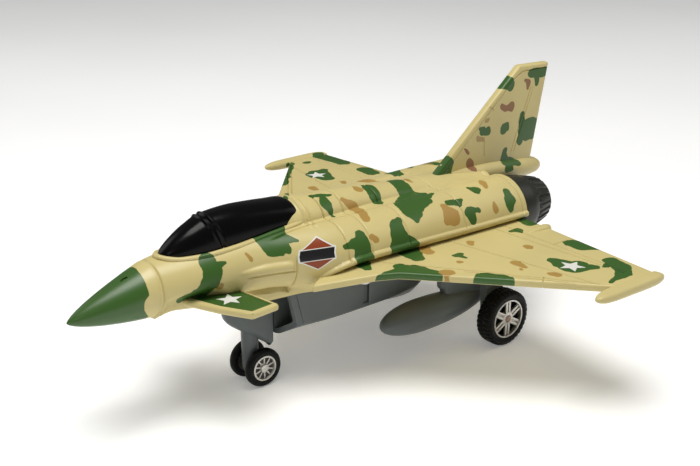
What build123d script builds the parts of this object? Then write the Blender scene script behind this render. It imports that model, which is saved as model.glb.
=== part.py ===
"""Toy jet airplane: a stubby delta-and-canard twin with free-rolling wheels.

Millimetres. +Z is up, the nose points to -Y, and x = 0 is the mirror plane.
Stations along the body are measured from the nose tip, and heights from the floor.
Every part is drawn in those stations, then slid forward by half the length, so
that the model's origin is the middle of its footprint.
"""
from math import atan, pi
import os

from build123d import *

# ---------------------------------------------------------------- overall
LENGTH = 260.8  # nose tip to the fin's trailing corner
WALL = 1.8  # moulded shells
FIT = 0.05  # radial clearance of every wheel on its axle
BODY_GAP = 0.4  # free space beside a turning part

# ---------------------------------------------------------------- fuselage
# each row: station, half width, bottom, top, corner radius
FOREBODY = [
    (33.8, 11.8, 45.0, 67.4, 10.9),
    (50.0, 13.8, 43.6, 70.0, 11.8),
    (66.0, 16.0, 43.0, 71.0, 11.5),
    (82.0, 19.6, 42.4, 71.4, 11.0),
    (96.0, 24.4, 42.0, 71.6, 11.5),
    (112.0, 29.2, 41.0, 71.8, 13.0),
    (132.0, 31.0, 40.0, 71.8, 14.5),
]
MIDBODY = [
    (132.0, 31.0, 40.0, 71.8, 14.5),
    (165.0, 32.2, 39.4, 71.8, 15.6),
    (196.0, 33.0, 39.2, 71.8, 16.0),
]
NACELLE_X = 17.0
NACELLE_Z = 55.5
NACELLE_R = 16.3
NACELLE_START = 150.0
NACELLE_END = 216.0
SPINE = [  # station, half width, top of the rounded hump behind the canopy
    (96.0, 10.6, 79.6),
    (136.0, 10.6, 78.0),
    (165.0, 10.2, 74.9),
    (200.0, 9.0, 72.6),
]
SPINE_FOOT = 66.0

# ---------------------------------------------------------------- nose cone
NOSE_TIP_Z = 51.6
NOSE_TIP_R = 1.5
NOSE_RING_Y = 33.8
NOSE_RING_Z = 56.1
NOSE_RING_R = 11.7
NOSE_POWER = 0.67
NOSE_SPIGOT = 5.0

# ---------------------------------------------------------------- canopy
CANOPY = [  # station, half width, top
    (41.2, 1.6, 70.4),
    (47.0, 5.2, 74.4),
    (54.0, 7.6, 78.4),
    (62.0, 9.2, 81.4),
    (74.0, 10.2, 82.9),
    (86.0, 10.4, 82.9),
    (95.0, 10.0, 81.6),
    (99.4, 9.4, 79.4),
]
CANOPY_FOOT = 67.5

# ---------------------------------------------------------------- wings
WING_TOP = 54.6
WING_THICK = 3.2
SPLIT_Z = WING_TOP - WING_THICK  # plane where the upper and lower fuselage mouldings meet
WING_OUTLINE = [  # the port panel, seen from above
    (26.5, 93.5),
    (42.0, 117.0),
    (46.0, 125.5),
    (110.6, 183.5),
    (110.6, 208.0),
    (30.8, 215.9),
    (30.8, 203.0),
    (22.0, 203.0),
    (22.0, 106.0),
]
POD_X = 113.4
POD_START = 168.6
POD_END = 210.6
POD_HALF_WIDTH = 3.6
POD_HALF_HEIGHT = 2.6
POD_Z = 53.4
FLAP_FAIRING = (47.0, 206.5, 214.8, 1.9)  # x, start, end, radius
WING_GROOVES = [  # panel lines of the port wing, start to end
    ((36.0, 201.0), (107.6, 201.0)),
    ((40.0, 139.0), (106.0, 184.5)),
    ((38.0, 141.6), (104.0, 187.2)),
    ((34.0, 169.0), (88.0, 178.4)),
]
GROOVE_WIDTH = 0.5
GROOVE_DEPTH = 0.4

# ---------------------------------------------------------------- canards
CANARD_THICK = 3.0
CANARD_OUTLINE = [
    (10.5, 45.8),
    (24.4, 51.9),
    (36.4, 58.7),
    (34.9, 72.4),
    (10.5, 67.9),
]
CANARD_BORDER = 2.4
CANARD_INSET = 0.5
CANARD_Z = SPLIT_Z - CANARD_THICK / 2 + CANARD_INSET  # its sunk panel is level with the seam

# ---------------------------------------------------------------- tail fin
FIN_OUTLINE = [  # station, height
    (184.6, 71.0),
    (186.3, 73.2),
    (240.1, 118.5),
    (260.8, 117.8),
    (250.9, 68.0),
    (246.0, 66.0),
    (240.0, 60.0),
    (200.0, 60.0),
]
FIN_THICK = 4.2
FIN_POD = [  # station, radius, centre height of the fairing at the fin's foot
    (186.0, 1.4, 71.4),
    (205.0, 4.4, 69.4),
    (225.0, 5.4, 67.8),
    (245.0, 5.0, 66.4),
    (256.0, 3.4, 65.6),
    (259.4, 1.2, 65.3),
]
FIN_GROOVES = [
    ((196.5, 76.4), (238.0, 111.4)),
    ((245.6, 113.4), (237.6, 75.0)),
    ((248.0, 113.4), (240.0, 75.0)),
]

# ---------------------------------------------------------------- jet nozzles
NOZZLE_R = 14.4
NOZZLE_STEP_Y = 228.0
NOZZLE_STEP_R = 13.0
NOZZLE_END_Y = 239.8
NOZZLE_END_R = 10.2
NOZZLE_LIP = 1.2
NOZZLE_SPIGOT = 7.0
NOZZLE_SPIGOT_R = 12.6
NOZZLE_FLOOR_Y = 222.0
NOZZLE_RIBS = 24
NOZZLE_RIB_DEPTH = 0.6
NOZZLE_RIB_WIDTH = 0.9
NOZZLE_CONE_R = 5.4

# ---------------------------------------------------------------- belly and intake
KEEL_Z = 20.8
KEEL_HALF = 4.2
BELLY = [  # station, half width, side bottom, keel bottom
    (91.0, 16.4, 28.4, KEEL_Z),
    (120.0, 16.4, 26.8, KEEL_Z),
    (148.0, 16.0, 27.0, KEEL_Z),
]
BELLY_TAIL = [
    (164.0, 14.6, 28.2, 21.2),
    (171.0, 12.8, 30.8, 24.0),
    (176.0, 10.4, 35.8, 31.4),
    (178.0, 8.4, 39.4, 37.0),
]
BELLY_TOP = 43.6
INTAKE_DEPTH = 9.0
INTAKE_WALL = 2.2
INTAKE_POST = 5.0

# ---------------------------------------------------------------- nose gear
HOUSING_SIDE = [  # station, height of the wedge ahead of the intake
    (68.5, 44.5),
    (68.5, 34.1),
    (70.3, 30.7),
    (77.4, 25.3),
    (88.6, 17.4),
    (90.2, 18.4),
    (90.2, 44.5),
]
HOUSING_HALF_WIDTH = 6.0
HOUSING_CORNER = 1.8
STRUT_Y = 81.3  # the leg stands a little ahead of its axle
STRUT_R = 3.7
STRUT_BOSS_R = 3.0
STRUT_TOP = 30.0
NOSE_AXLE_Y = 83.7
NOSE_AXLE_Z = 8.7
NOSE_AXLE_R = 1.2
NOSE_TYRE_R = 8.7
NOSE_HUB_R = 5.9
NOSE_OUTER_X = 7.9
NOSE_WHEEL_WIDTH = 3.9

# ---------------------------------------------------------------- main gear
MAIN_AXLE_Y = 194.1
MAIN_AXLE_Z = 13.4
MAIN_AXLE_R = 1.5
MAIN_TYRE_R = 13.4
MAIN_RIM_R = 9.2
MAIN_INNER_X = 36.6
MAIN_OUTER_X = 45.4
MAIN_SHOULDER = 1.1
MAIN_SPOKES = 6
MAIN_SPOKE_WIDTH = 3.0
MAIN_SPOKE_THICK = 1.8
MAIN_HUB_R = 3.6
MAIN_CAP_R = 2.6
MAIN_CAP_THICK = 0.7
PIN_HEAD_R = 2.2
PIN_HEAD_THICK = 0.9
TREAD_GROOVES = 36
TREAD_DEPTH = 0.5
TREAD_WIDTH = 0.6
LEG_INNER_X = 31.4
LEG_OUTER_X = 35.4
LEG_ROUND = 4.6
LEG_TOP_HALF = 8.0

# ---------------------------------------------------------------- drop tanks
TANK_X = 26.0
TANK_Z = 19.8
TANK_R = 7.55
TANK_START = 133.0
TANK_END = 198.5
TANK_FULLEST = 0.36
PYLON_START = 168.0
PYLON_END = 196.0
PYLON_THICK = 5.0

# ---------------------------------------------------------------- screws
SCREW_HEAD_R = 2.4
SCREW_HEAD_H = 1.6
SCREW_SHANK_R = 1.2
BELLY_SCREW_HEAD_Z = 24.0
SHELL_SCREW_HEAD_Z = 44.0
BOSS_R = 2.9
BELLY_SCREW_SPOTS = [(0.0, 116.0), (0.0, 142.0)]
REAR_SCREW_SPOTS = [(-10.0, 206.0), (10.0, 206.0)]
WING_SCREW_SPOTS = [(25.5, 124.0), (25.5, 160.0)]


def section_plane(station):
    """The upright plane at a station, its x to port and its y upward."""
    return Plane(origin=(0, station, 0), x_dir=(1, 0, 0), z_dir=(0, -1, 0))


def section(station, half_width, bottom, top, radius, inset=0.0):
    """A rounded box section of the body, drawn in by inset all round."""
    outline = RectangleRounded(
        2 * (half_width - inset),
        top - bottom - 2 * inset,
        radius - inset,
    )
    return section_plane(station) * Pos(0, (top + bottom) / 2) * outline


def disc(x, station, z, radius):
    """A circle across the body at a station."""
    return section_plane(station) * Pos(x, z) * Circle(radius)


def round_bar(x, start, end, z, radius):
    """A cylinder lying along the body from one station to another."""
    return extrude(disc(x, start, z, radius), end - start, dir=(0, 1, 0))


def pin(start, end, y, z, radius):
    """A cylinder lying across the body from one side offset to another."""
    face = Plane(origin=(start, y, z), z_dir=(1, 0, 0)) * Circle(radius)
    return extrude(face, end - start, dir=(1, 0, 0))


def post(x, y, bottom, top, radius):
    """An upright cylinder."""
    face = Pos(x, y, bottom) * Circle(radius)
    return extrude(face, top - bottom, dir=(0, 0, 1))


def plan_plate(outline, bottom, top):
    """A flat plate whose outline is given from above."""
    face = Pos(0, 0, bottom) * Polygon(*outline, align=None)
    return extrude(face, top - bottom, dir=(0, 0, 1))


def side_plate(outline, x, half_thickness):
    """A flat upright plate whose outline is given as station and height."""
    plane = Plane(origin=(x, 0, 0), x_dir=(0, 1, 0), z_dir=(1, 0, 0))
    return extrude(plane * Polygon(*outline, align=None), half_thickness, both=True)


def box_between(low, high):
    """A box from its lowest corner to its highest."""
    size = [b - a for a, b in zip(low, high)]
    middle = [(a + b) / 2 for a, b in zip(low, high)]
    return Pos(*middle) * Box(*size)


def port_and_starboard(shape):
    """A port-side shape and its mirror image."""
    return shape, mirror(shape, about=Plane.YZ)


# ---------------------------------------------------------------- body shells
def hull(inset=0.0):
    """Forebody, middle, both nacelles and the spine hump as one solid."""
    body = loft([section(*row, inset=inset) for row in FOREBODY])
    body += loft([section(*row, inset=inset) for row in MIDBODY])
    for side in (-1, 1):
        body += round_bar(
            side * NACELLE_X,
            NACELLE_START,
            NACELLE_END - inset,
            NACELLE_Z,
            NACELLE_R - inset,
        )
    body += box_between(
        (-NACELLE_X, MIDBODY[-1][0] - 1, NACELLE_Z - 6 + inset),
        (NACELLE_X, NACELLE_END - inset, NACELLE_Z + 10 - inset),
    )
    humps = [
        section_plane(y) * Pos(0, SPINE_FOOT) * Ellipse(half - inset, top - SPINE_FOOT - inset)
        for y, half, top in SPINE
    ]
    return body + loft(humps)


def above_split():
    """Everything over the plane where the two mouldings meet."""
    return box_between((-60, 0, SPLIT_Z), (60, 300, 130))


def screw_places():
    """Where each screw goes up: x, station, its head's height and its tip's height."""
    places = [(x, y, BELLY_SCREW_HEAD_Z, 64.0) for x, y in BELLY_SCREW_SPOTS]
    places += [(x, y, SHELL_SCREW_HEAD_Z, 64.0) for x, y in REAR_SCREW_SPOTS]
    for side in (-1, 1):
        places += [(side * x, y, SHELL_SCREW_HEAD_Z, 62.0) for x, y in WING_SCREW_SPOTS]
    return places


def screw(x, y, head_z, tip_z):
    """A pan-head screw pointing up, with a cross recess in its head."""
    shape = post(x, y, head_z, head_z + SCREW_HEAD_H, SCREW_HEAD_R)
    shape += post(x, y, head_z, tip_z - 2.0, SCREW_SHANK_R)
    for along_x in (0.9, 3.0):
        along_y = 3.9 - along_x
        low = (x - along_x / 2, y - along_y / 2, head_z - 1)
        high = (x + along_x / 2, y + along_y / 2, head_z + 0.8)
        shape -= box_between(low, high)
    return shape


def screw_bore(x, y, head_z, tip_z):
    """The hole a screw is driven into, with its counterbore below the head."""
    bore = post(x, y, head_z, tip_z, SCREW_SHANK_R)
    return bore + post(x, y, 0, head_z + SCREW_HEAD_H, SCREW_HEAD_R + 0.3)


def fuselage(plugged_in):
    """The upper and lower tan shells, less every part that plugs into them."""
    outer = hull()
    bosses = [post(place[0], place[1], 30.0, 90.0, BOSS_R) for place in screw_places()]
    shell = outer - (hull(WALL) - box_between((-40, 0, 0), (40, NOSE_RING_Y + WALL, 130)))
    for boss in bosses:
        shell += boss & outer
    for place in screw_places():
        shell -= screw_bore(*place)
    for part in plugged_in:
        shell -= part
    return shell & above_split(), shell - above_split()


# ---------------------------------------------------------------- nose and canopy
def nose_cone():
    """A drooped ogive with a rounded tip and a spigot behind its ring."""
    rings = []
    for share in (0.045, 0.12, 0.25, 0.45, 0.7, 1.0):
        z = NOSE_TIP_Z + (NOSE_RING_Z - NOSE_TIP_Z) * share
        radius = NOSE_RING_R * share**NOSE_POWER
        rings.append(disc(0, NOSE_RING_Y * share, z, radius))
    cone = loft(rings) + Pos(0, NOSE_TIP_R, NOSE_TIP_Z) * Sphere(NOSE_TIP_R)
    return cone + round_bar(0, NOSE_RING_Y, NOSE_RING_Y + NOSE_SPIGOT, NOSE_RING_Z, 6.0)


def bubble(inset):
    """The canopy's arched form, drawn in by inset, on its flat foot."""
    slices = []
    for station, half, top in CANOPY:
        high = top - CANOPY_FOOT - inset
        arch = Ellipse(max(half - inset, 0.4), high)
        arch &= Pos(0, high / 2) * Rectangle(4 * half, high)
        slices.append(section_plane(station) * Pos(0, CANOPY_FOOT) * arch)
    return loft(slices)


def canopy():
    """The one-piece bubble, hollow underneath."""
    first, last = CANOPY[0][0], CANOPY[-1][0]
    room = box_between((-30, first + 2 * WALL, 0), (30, last - WALL, 130))
    return bubble(0.0) - (bubble(WALL) & room)


# ---------------------------------------------------------------- flying surfaces
def groove(start, end, top):
    """A shallow straight line sunk into a level surface."""
    length = ((end[0] - start[0]) ** 2 + (end[1] - start[1]) ** 2) ** 0.5
    middle = ((start[0] + end[0]) / 2, (start[1] + end[1]) / 2, top)
    plane = Plane(origin=middle, x_dir=(end[0] - start[0], end[1] - start[1], 0))
    return plane * Box(length, GROOVE_WIDTH, 2 * GROOVE_DEPTH)


def wing():
    """The port wing panel with its tip pod, flap fairing and panel lines."""
    bottom = WING_TOP - WING_THICK
    panel = plan_plate(WING_OUTLINE, bottom, WING_TOP)
    leading = [e for e in panel.edges() if is_leading_edge(e)]
    panel = chamfer(leading, 1.0)
    x, start, end, radius = FLAP_FAIRING
    panel += round_bar(x, start, end, WING_TOP - 0.6, radius)
    for line in WING_GROOVES:
        panel -= groove(*line, WING_TOP)
    for place in screw_places():
        panel -= screw_bore(*place)
    return panel + wingtip_pod()


def is_leading_edge(edge):
    """True for the swept top and bottom edges at the front of the wing."""
    middle = edge @ 0.5
    level = abs(edge.tangent_at(0.5).Z) < 0.1
    return level and edge.length > 5 and middle.X > 30 and middle.Y < 170


def wingtip_pod():
    """A flattened round-ended pod along the wing tip."""
    half_length = (POD_END - POD_START) / 2
    slices = []
    for share in (-0.999, -0.9, -0.6, 0.0, 0.6, 0.9, 0.999):
        fullness = (1 - abs(share) ** 6) ** 0.5
        oval = Ellipse(POD_HALF_WIDTH * fullness, POD_HALF_HEIGHT * fullness)
        station = POD_START + half_length * (1 + share)
        slices.append(section_plane(station) * Pos(POD_X, POD_Z) * oval)
    return loft(slices)


def canard():
    """The port foreplane: a rounded rim round a slightly sunk panel."""
    bottom = CANARD_Z - CANARD_THICK / 2
    plate = plan_plate(CANARD_OUTLINE, bottom, bottom + CANARD_THICK)
    rim = [e for e in plate.edges() if abs(e.tangent_at(0.5).Z) < 0.1 and e.center().X > 11]
    plate = fillet(rim, CANARD_THICK * 0.42)
    panel = offset(Polygon(*CANARD_OUTLINE, align=None), -CANARD_BORDER)
    for face_z in (bottom, bottom + CANARD_THICK):
        plate -= Pos(0, 0, face_z) * extrude(panel, CANARD_INSET, both=True)
    return plate


def fin():
    """The tail fin with the fairing along its foot."""
    blade = side_plate(FIN_OUTLINE, 0, FIN_THICK / 2)
    for (y_start, z_start), (y_end, z_end) in FIN_GROOVES:
        length = ((y_end - y_start) ** 2 + (z_end - z_start) ** 2) ** 0.5
        for side in (-1, 1):
            origin = (side * FIN_THICK / 2, (y_start + y_end) / 2, (z_start + z_end) / 2)
            plane = Plane(
                origin=origin,
                x_dir=(0, y_end - y_start, z_end - z_start),
                z_dir=(side, 0, 0),
            )
            blade -= plane * Box(length, GROOVE_WIDTH, 2 * GROOVE_DEPTH)
    return blade + loft([disc(0, y, z, radius) for y, radius, z in FIN_POD])


# ---------------------------------------------------------------- jet nozzles
def nozzle():
    """The port jet pipe: a smooth collar, a ribbed petal ring and a tail cone inside."""
    profile = [
        (NACELLE_END - NOZZLE_SPIGOT, 0),
        (NACELLE_END - NOZZLE_SPIGOT, NOZZLE_SPIGOT_R),
        (NACELLE_END, NOZZLE_SPIGOT_R),
        (NACELLE_END, NOZZLE_R),
        (NOZZLE_STEP_Y, NOZZLE_R - 0.6),
        (NOZZLE_STEP_Y, NOZZLE_STEP_R),
        (NOZZLE_END_Y, NOZZLE_END_R),
        (NOZZLE_END_Y, NOZZLE_END_R - NOZZLE_LIP),
        (NOZZLE_FLOOR_Y, NOZZLE_STEP_R - 2.2),
        (NOZZLE_FLOOR_Y, NOZZLE_CONE_R),
        (NOZZLE_END_Y - 5.0, 0),
    ]
    pipe = Plane.XY * Polygon(*[(r, y) for y, r in profile], align=None)
    pipe = revolve(pipe, Axis.Y)
    slope = (NOZZLE_STEP_R - NOZZLE_END_R) / (NOZZLE_END_Y - NOZZLE_STEP_Y)
    for turn in range(NOZZLE_RIBS):
        slot = box_between(
            (-NOZZLE_RIB_WIDTH / 2, NOZZLE_STEP_Y + 0.8, 0),
            (NOZZLE_RIB_WIDTH / 2, NOZZLE_END_Y + 1, 2.0),
        )
        lean = Rot(-atan(slope) * 180 / pi, 0, 0)
        place = Pos(0, NOZZLE_STEP_Y, NOZZLE_STEP_R - NOZZLE_RIB_DEPTH)
        slot = place * lean * Pos(0, -NOZZLE_STEP_Y, 0) * slot
        pipe -= Rot(0, turn * 360 / NOZZLE_RIBS, 0) * slot
    return Pos(NACELLE_X, 0, NACELLE_Z) * pipe


# ---------------------------------------------------------------- belly
def belly_section(station, half, side_bottom, keel, inset=0.0):
    """The belly's trough: upright sides and a shallow vee floor."""
    half -= inset
    side_bottom += inset
    keel += inset * 1.2
    corners = [
        (-half, BELLY_TOP),
        (-half, side_bottom + 1.6),
        (-half + 1.8, side_bottom),
        (-KEEL_HALF, keel),
        (KEEL_HALF, keel),
        (half - 1.8, side_bottom),
        (half, side_bottom + 1.6),
        (half, BELLY_TOP),
    ]
    return section_plane(station) * Polygon(*corners, align=None)


def belly_shell(hull_solid):
    """The grey trough under the body, with the two intake mouths at its front."""
    outer = loft([belly_section(*row) for row in BELLY + BELLY_TAIL], ruled=True)
    cavity = loft([belly_section(*row, inset=WALL) for row in BELLY + BELLY_TAIL], ruled=True)
    first = BELLY[0][0] + INTAKE_DEPTH + WALL
    last = BELLY_TAIL[-1][0] - WALL
    shell = outer - (cavity & box_between((-40, first, 0), (40, last, 90)))
    mouth = loft([belly_section(*row, inset=INTAKE_WALL) for row in BELLY], ruled=True)
    front = BELLY[0][0]
    for side in (-1, 1):
        near, far = sorted((side * INTAKE_POST / 2, side * 40))
        shell -= mouth & box_between((near, front - 1, 0), (far, front + INTAKE_DEPTH, 90))
    for x, y in BELLY_SCREW_SPOTS:
        shell += post(x, y, BELLY_SCREW_HEAD_Z - 3.0, BELLY_TOP, BOSS_R + 1.2)
        shell -= screw_bore(x, y, BELLY_SCREW_HEAD_Z, BELLY_TOP + 1)
    return shell - hull_solid


# ---------------------------------------------------------------- nose gear
def nose_gear_housing(hull_solid):
    """The grey wedge ahead of the intake, round in front, with its round leg."""
    front, back = HOUSING_SIDE[0][0], HOUSING_SIDE[-1][0]
    round_end = Pos(0, front + HOUSING_HALF_WIDTH) * Circle(HOUSING_HALF_WIDTH)
    length = back - front - HOUSING_HALF_WIDTH + HOUSING_CORNER
    square_end = RectangleRounded(2 * HOUSING_HALF_WIDTH, length, HOUSING_CORNER)
    plan = round_end + Pos(0, back - length / 2) * square_end
    wedge = extrude(plan, 60, dir=(0, 0, 1))
    wedge &= side_plate(HOUSING_SIDE, 0, HOUSING_HALF_WIDTH + 1)
    leg = post(0, STRUT_Y, NOSE_AXLE_Z, STRUT_TOP, STRUT_R)
    leg += pin(-STRUT_R, STRUT_R, NOSE_AXLE_Y, NOSE_AXLE_Z, STRUT_BOSS_R)
    leg -= pin(-9, 9, NOSE_AXLE_Y, NOSE_AXLE_Z, NOSE_AXLE_R + FIT)
    return wedge - leg - hull_solid, leg


# ---------------------------------------------------------------- wheels
def ring(start, end, y, z, outer, inner):
    """A tube lying across the body."""
    return pin(start, end, y, z, outer) - pin(start - 1, end + 1, y, z, inner)


def nose_tyre(side):
    """One of the twin nose tyres, with rounded shoulders."""
    inner_x = NOSE_OUTER_X - NOSE_WHEEL_WIDTH
    tyre = ring(inner_x, NOSE_OUTER_X, NOSE_AXLE_Y, NOSE_AXLE_Z, NOSE_TYRE_R, NOSE_HUB_R)
    shoulders = [e for e in tyre.edges() if abs(e.length - 2 * pi * NOSE_TYRE_R) < 0.5]
    tyre = fillet(shoulders, 0.9)
    return tyre if side > 0 else mirror(tyre, about=Plane.YZ)


def nose_hub(side):
    """The disc wheel inside a nose tyre, pressed on the axle."""
    inner_x = NOSE_OUTER_X - NOSE_WHEEL_WIDTH
    outer_x = NOSE_OUTER_X - 0.2
    hub = pin(inner_x, outer_x, NOSE_AXLE_Y, NOSE_AXLE_Z, NOSE_HUB_R)
    hub -= ring(outer_x - 0.8, outer_x + 1, NOSE_AXLE_Y, NOSE_AXLE_Z, 4.9, 1.9)
    hub -= pin(0, outer_x - 1.2, NOSE_AXLE_Y, NOSE_AXLE_Z, NOSE_AXLE_R)
    return hub if side > 0 else mirror(hub, about=Plane.YZ)


def nose_axle():
    """The steel rod that both nose wheels are pressed on."""
    reach = NOSE_OUTER_X - 0.2 - 1.2
    return pin(-reach, reach, NOSE_AXLE_Y, NOSE_AXLE_Z, NOSE_AXLE_R)


def main_tyre():
    """The port main tyre with chamfered shoulders and cross grooves."""
    place = (MAIN_AXLE_Y, MAIN_AXLE_Z)
    tyre = ring(MAIN_INNER_X, MAIN_OUTER_X, *place, MAIN_TYRE_R, MAIN_RIM_R)
    shoulders = [e for e in tyre.edges() if abs(e.length - 2 * pi * MAIN_TYRE_R) < 0.5]
    tyre = chamfer(shoulders, MAIN_SHOULDER)
    middle_x = (MAIN_INNER_X + MAIN_OUTER_X) / 2
    for turn in range(TREAD_GROOVES):
        side = 1 if turn % 2 else -1
        cut = Pos(side * 2.6, 0, MAIN_TYRE_R) * Box(4.4, TREAD_WIDTH, 2 * TREAD_DEPTH)
        spin = Rot(turn * 360 / TREAD_GROOVES, 0, 0)
        tyre -= Pos(middle_x, *place) * spin * cut
    return tyre


def main_rim():
    """The port main wheel: a barrel, six twin spokes and a hub bored for its pin."""
    place = (MAIN_AXLE_Y, MAIN_AXLE_Z)
    face_x = MAIN_OUTER_X - 0.5
    rim = ring(MAIN_INNER_X, face_x, *place, MAIN_RIM_R, MAIN_RIM_R - 1.2)
    rim += pin(MAIN_INNER_X, face_x, *place, MAIN_HUB_R)
    spoke_x = face_x - 0.4 - MAIN_SPOKE_THICK / 2
    spoke_middle = (MAIN_HUB_R + MAIN_RIM_R - 1.2) / 2
    for turn in range(MAIN_SPOKES):
        spin = Pos(spoke_x, *place) * Rot(turn * 360 / MAIN_SPOKES, 0, 0)
        spoke = Pos(0, 0, MAIN_RIM_R / 2) * Box(MAIN_SPOKE_THICK, MAIN_SPOKE_WIDTH, MAIN_RIM_R - 1)
        gap = Pos(MAIN_SPOKE_THICK / 2, 0, spoke_middle) * Box(1.6, 0.7, 4.6)
        rim += spin * (spoke - gap)
    rim -= pin(0, 99, *place, MAIN_AXLE_R + FIT)
    head_x = face_x - MAIN_CAP_THICK - BODY_GAP - PIN_HEAD_THICK
    rim -= pin(head_x - BODY_GAP, 99, *place, MAIN_CAP_R)
    return rim


def main_cap():
    """The round cap that closes the port hub."""
    face_x = MAIN_OUTER_X - 0.5
    place = (MAIN_AXLE_Y, MAIN_AXLE_Z)
    return pin(face_x - MAIN_CAP_THICK, face_x, *place, MAIN_CAP_R)


def main_pin():
    """The headed steel pin the port main wheel turns on."""
    place = (MAIN_AXLE_Y, MAIN_AXLE_Z)
    head_end = MAIN_OUTER_X - 0.5 - MAIN_CAP_THICK - BODY_GAP
    shank = pin(LEG_INNER_X + 0.6, head_end, *place, MAIN_AXLE_R)
    return shank + pin(head_end - PIN_HEAD_THICK, head_end, *place, PIN_HEAD_R)


# ---------------------------------------------------------------- under the wings
def drop_tank():
    """The port tank: a blunt ogive nose and a longer tail."""
    length = TANK_END - TANK_START
    waist = TANK_START + TANK_FULLEST * length
    blunt = 0.55 * TANK_R
    nose_pull = waist - 0.55 * (waist - TANK_START)
    tail_pull = waist + 0.6 * (TANK_END - waist)
    nose = Bezier((0, TANK_START), (blunt, TANK_START), (TANK_R, nose_pull), (TANK_R, waist))
    tail = Bezier((TANK_R, waist), (TANK_R, tail_pull), (blunt, TANK_END), (0, TANK_END))
    half = make_face([nose, tail, Line((0, TANK_END), (0, TANK_START))])
    return Pos(TANK_X, 0, TANK_Z) * revolve(half, Axis.Y)


def pylon(keep_clear):
    """The port pylon: a plate and a round post from the tank up to the wing."""
    foot = TANK_Z + TANK_R - 3.0
    outline = [
        (PYLON_START + 3.4, foot),
        (PYLON_START + 2.0, foot + 4.0),
        (PYLON_START + 3.0, WING_TOP),
        (PYLON_END, WING_TOP),
        (PYLON_END - 4.0, foot - 3.0),
        (PYLON_END - 12.0, foot - 3.0),
    ]
    shape = side_plate(outline, TANK_X, PYLON_THICK / 2)
    shape += post(TANK_X, PYLON_START + 2.2, foot + 3.4, WING_TOP, PYLON_THICK / 2)
    for part in keep_clear:
        shape -= part
    return shape


def main_leg(keep_clear):
    """The port leg: a tapered plate from the wing down to the wheel pin."""
    outline = [
        (MAIN_AXLE_Y - LEG_TOP_HALF, WING_TOP),
        (MAIN_AXLE_Y + LEG_TOP_HALF, WING_TOP),
        (MAIN_AXLE_Y + LEG_ROUND, MAIN_AXLE_Z),
        (MAIN_AXLE_Y - LEG_ROUND, MAIN_AXLE_Z),
    ]
    place = (MAIN_AXLE_Y, MAIN_AXLE_Z)
    middle_x = (LEG_INNER_X + LEG_OUTER_X) / 2
    shape = side_plate(outline, middle_x, (LEG_OUTER_X - LEG_INNER_X) / 2)
    shape += pin(LEG_INNER_X, LEG_OUTER_X, *place, LEG_ROUND)
    shape += pin(LEG_OUTER_X, MAIN_INNER_X - BODY_GAP, *place, MAIN_HUB_R - 0.4)
    shape -= pin(LEG_INNER_X + 0.6, 99, *place, MAIN_AXLE_R)
    for part in keep_clear:
        shape -= part
    return shape


# ---------------------------------------------------------------- assembly
def mirrored(name, shape):
    """Names for a port-side shape and its starboard twin."""
    return {name + "_left": shape, name + "_right": mirror(shape, about=Plane.YZ)}


def airplane():
    """Every sub-part by name, in body stations."""
    wings = mirrored("wing", wing())
    canards = mirrored("canard", canard())
    nozzles = mirrored("jet_nozzle", nozzle())
    solid_hull = hull()
    tail = fin()
    nose = nose_cone()
    bubble_top = canopy()
    parts = {"nose_cone": nose, "canopy": bubble_top, "tail_fin": tail}
    parts.update(wings)
    parts.update(canards)
    parts.update(nozzles)
    plugged_in = [nose, bubble(0.0), tail]
    plugged_in += list(wings.values()) + list(canards.values()) + list(nozzles.values())
    parts["fuselage_upper"], parts["fuselage_lower"] = fuselage(plugged_in)
    parts["belly_shell"] = belly_shell(solid_hull)
    housing, leg = nose_gear_housing(solid_hull)
    parts["nose_gear_housing"] = housing
    parts["nose_leg"] = leg
    parts["nose_axle"] = nose_axle()
    for name, side in (("left", 1), ("right", -1)):
        parts["nose_tyre_" + name] = nose_tyre(side)
        parts["nose_hub_" + name] = nose_hub(side)
    port_wing = wings["wing_left"]
    tank = drop_tank()
    over = [solid_hull, port_wing]
    parts.update(mirrored("drop_tank", tank))
    parts.update(mirrored("tank_pylon", pylon(over + [tank])))
    parts.update(mirrored("main_leg", main_leg(over)))
    parts.update(mirrored("main_pin", main_pin()))
    parts.update(mirrored("main_rim", main_rim()))
    parts.update(mirrored("main_tyre", main_tyre()))
    parts.update(mirrored("main_hub_cap", main_cap()))
    parts["case_screws"] = Compound([screw(*place) for place in screw_places()])
    return parts


os.makedirs("parts", exist_ok=True)
for node, shape in airplane().items():
    export_step(Pos(0, -LENGTH / 2, 0) * shape, "parts/" + node + ".step")
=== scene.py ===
"""Looks for the toy jet airplane: detailed shells, printed camouflage, wheels and studio."""
from math import cos, pi, radians, sin, sqrt

import bmesh
import bpy
import numpy as np
from mathutils import Matrix, Vector


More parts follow.
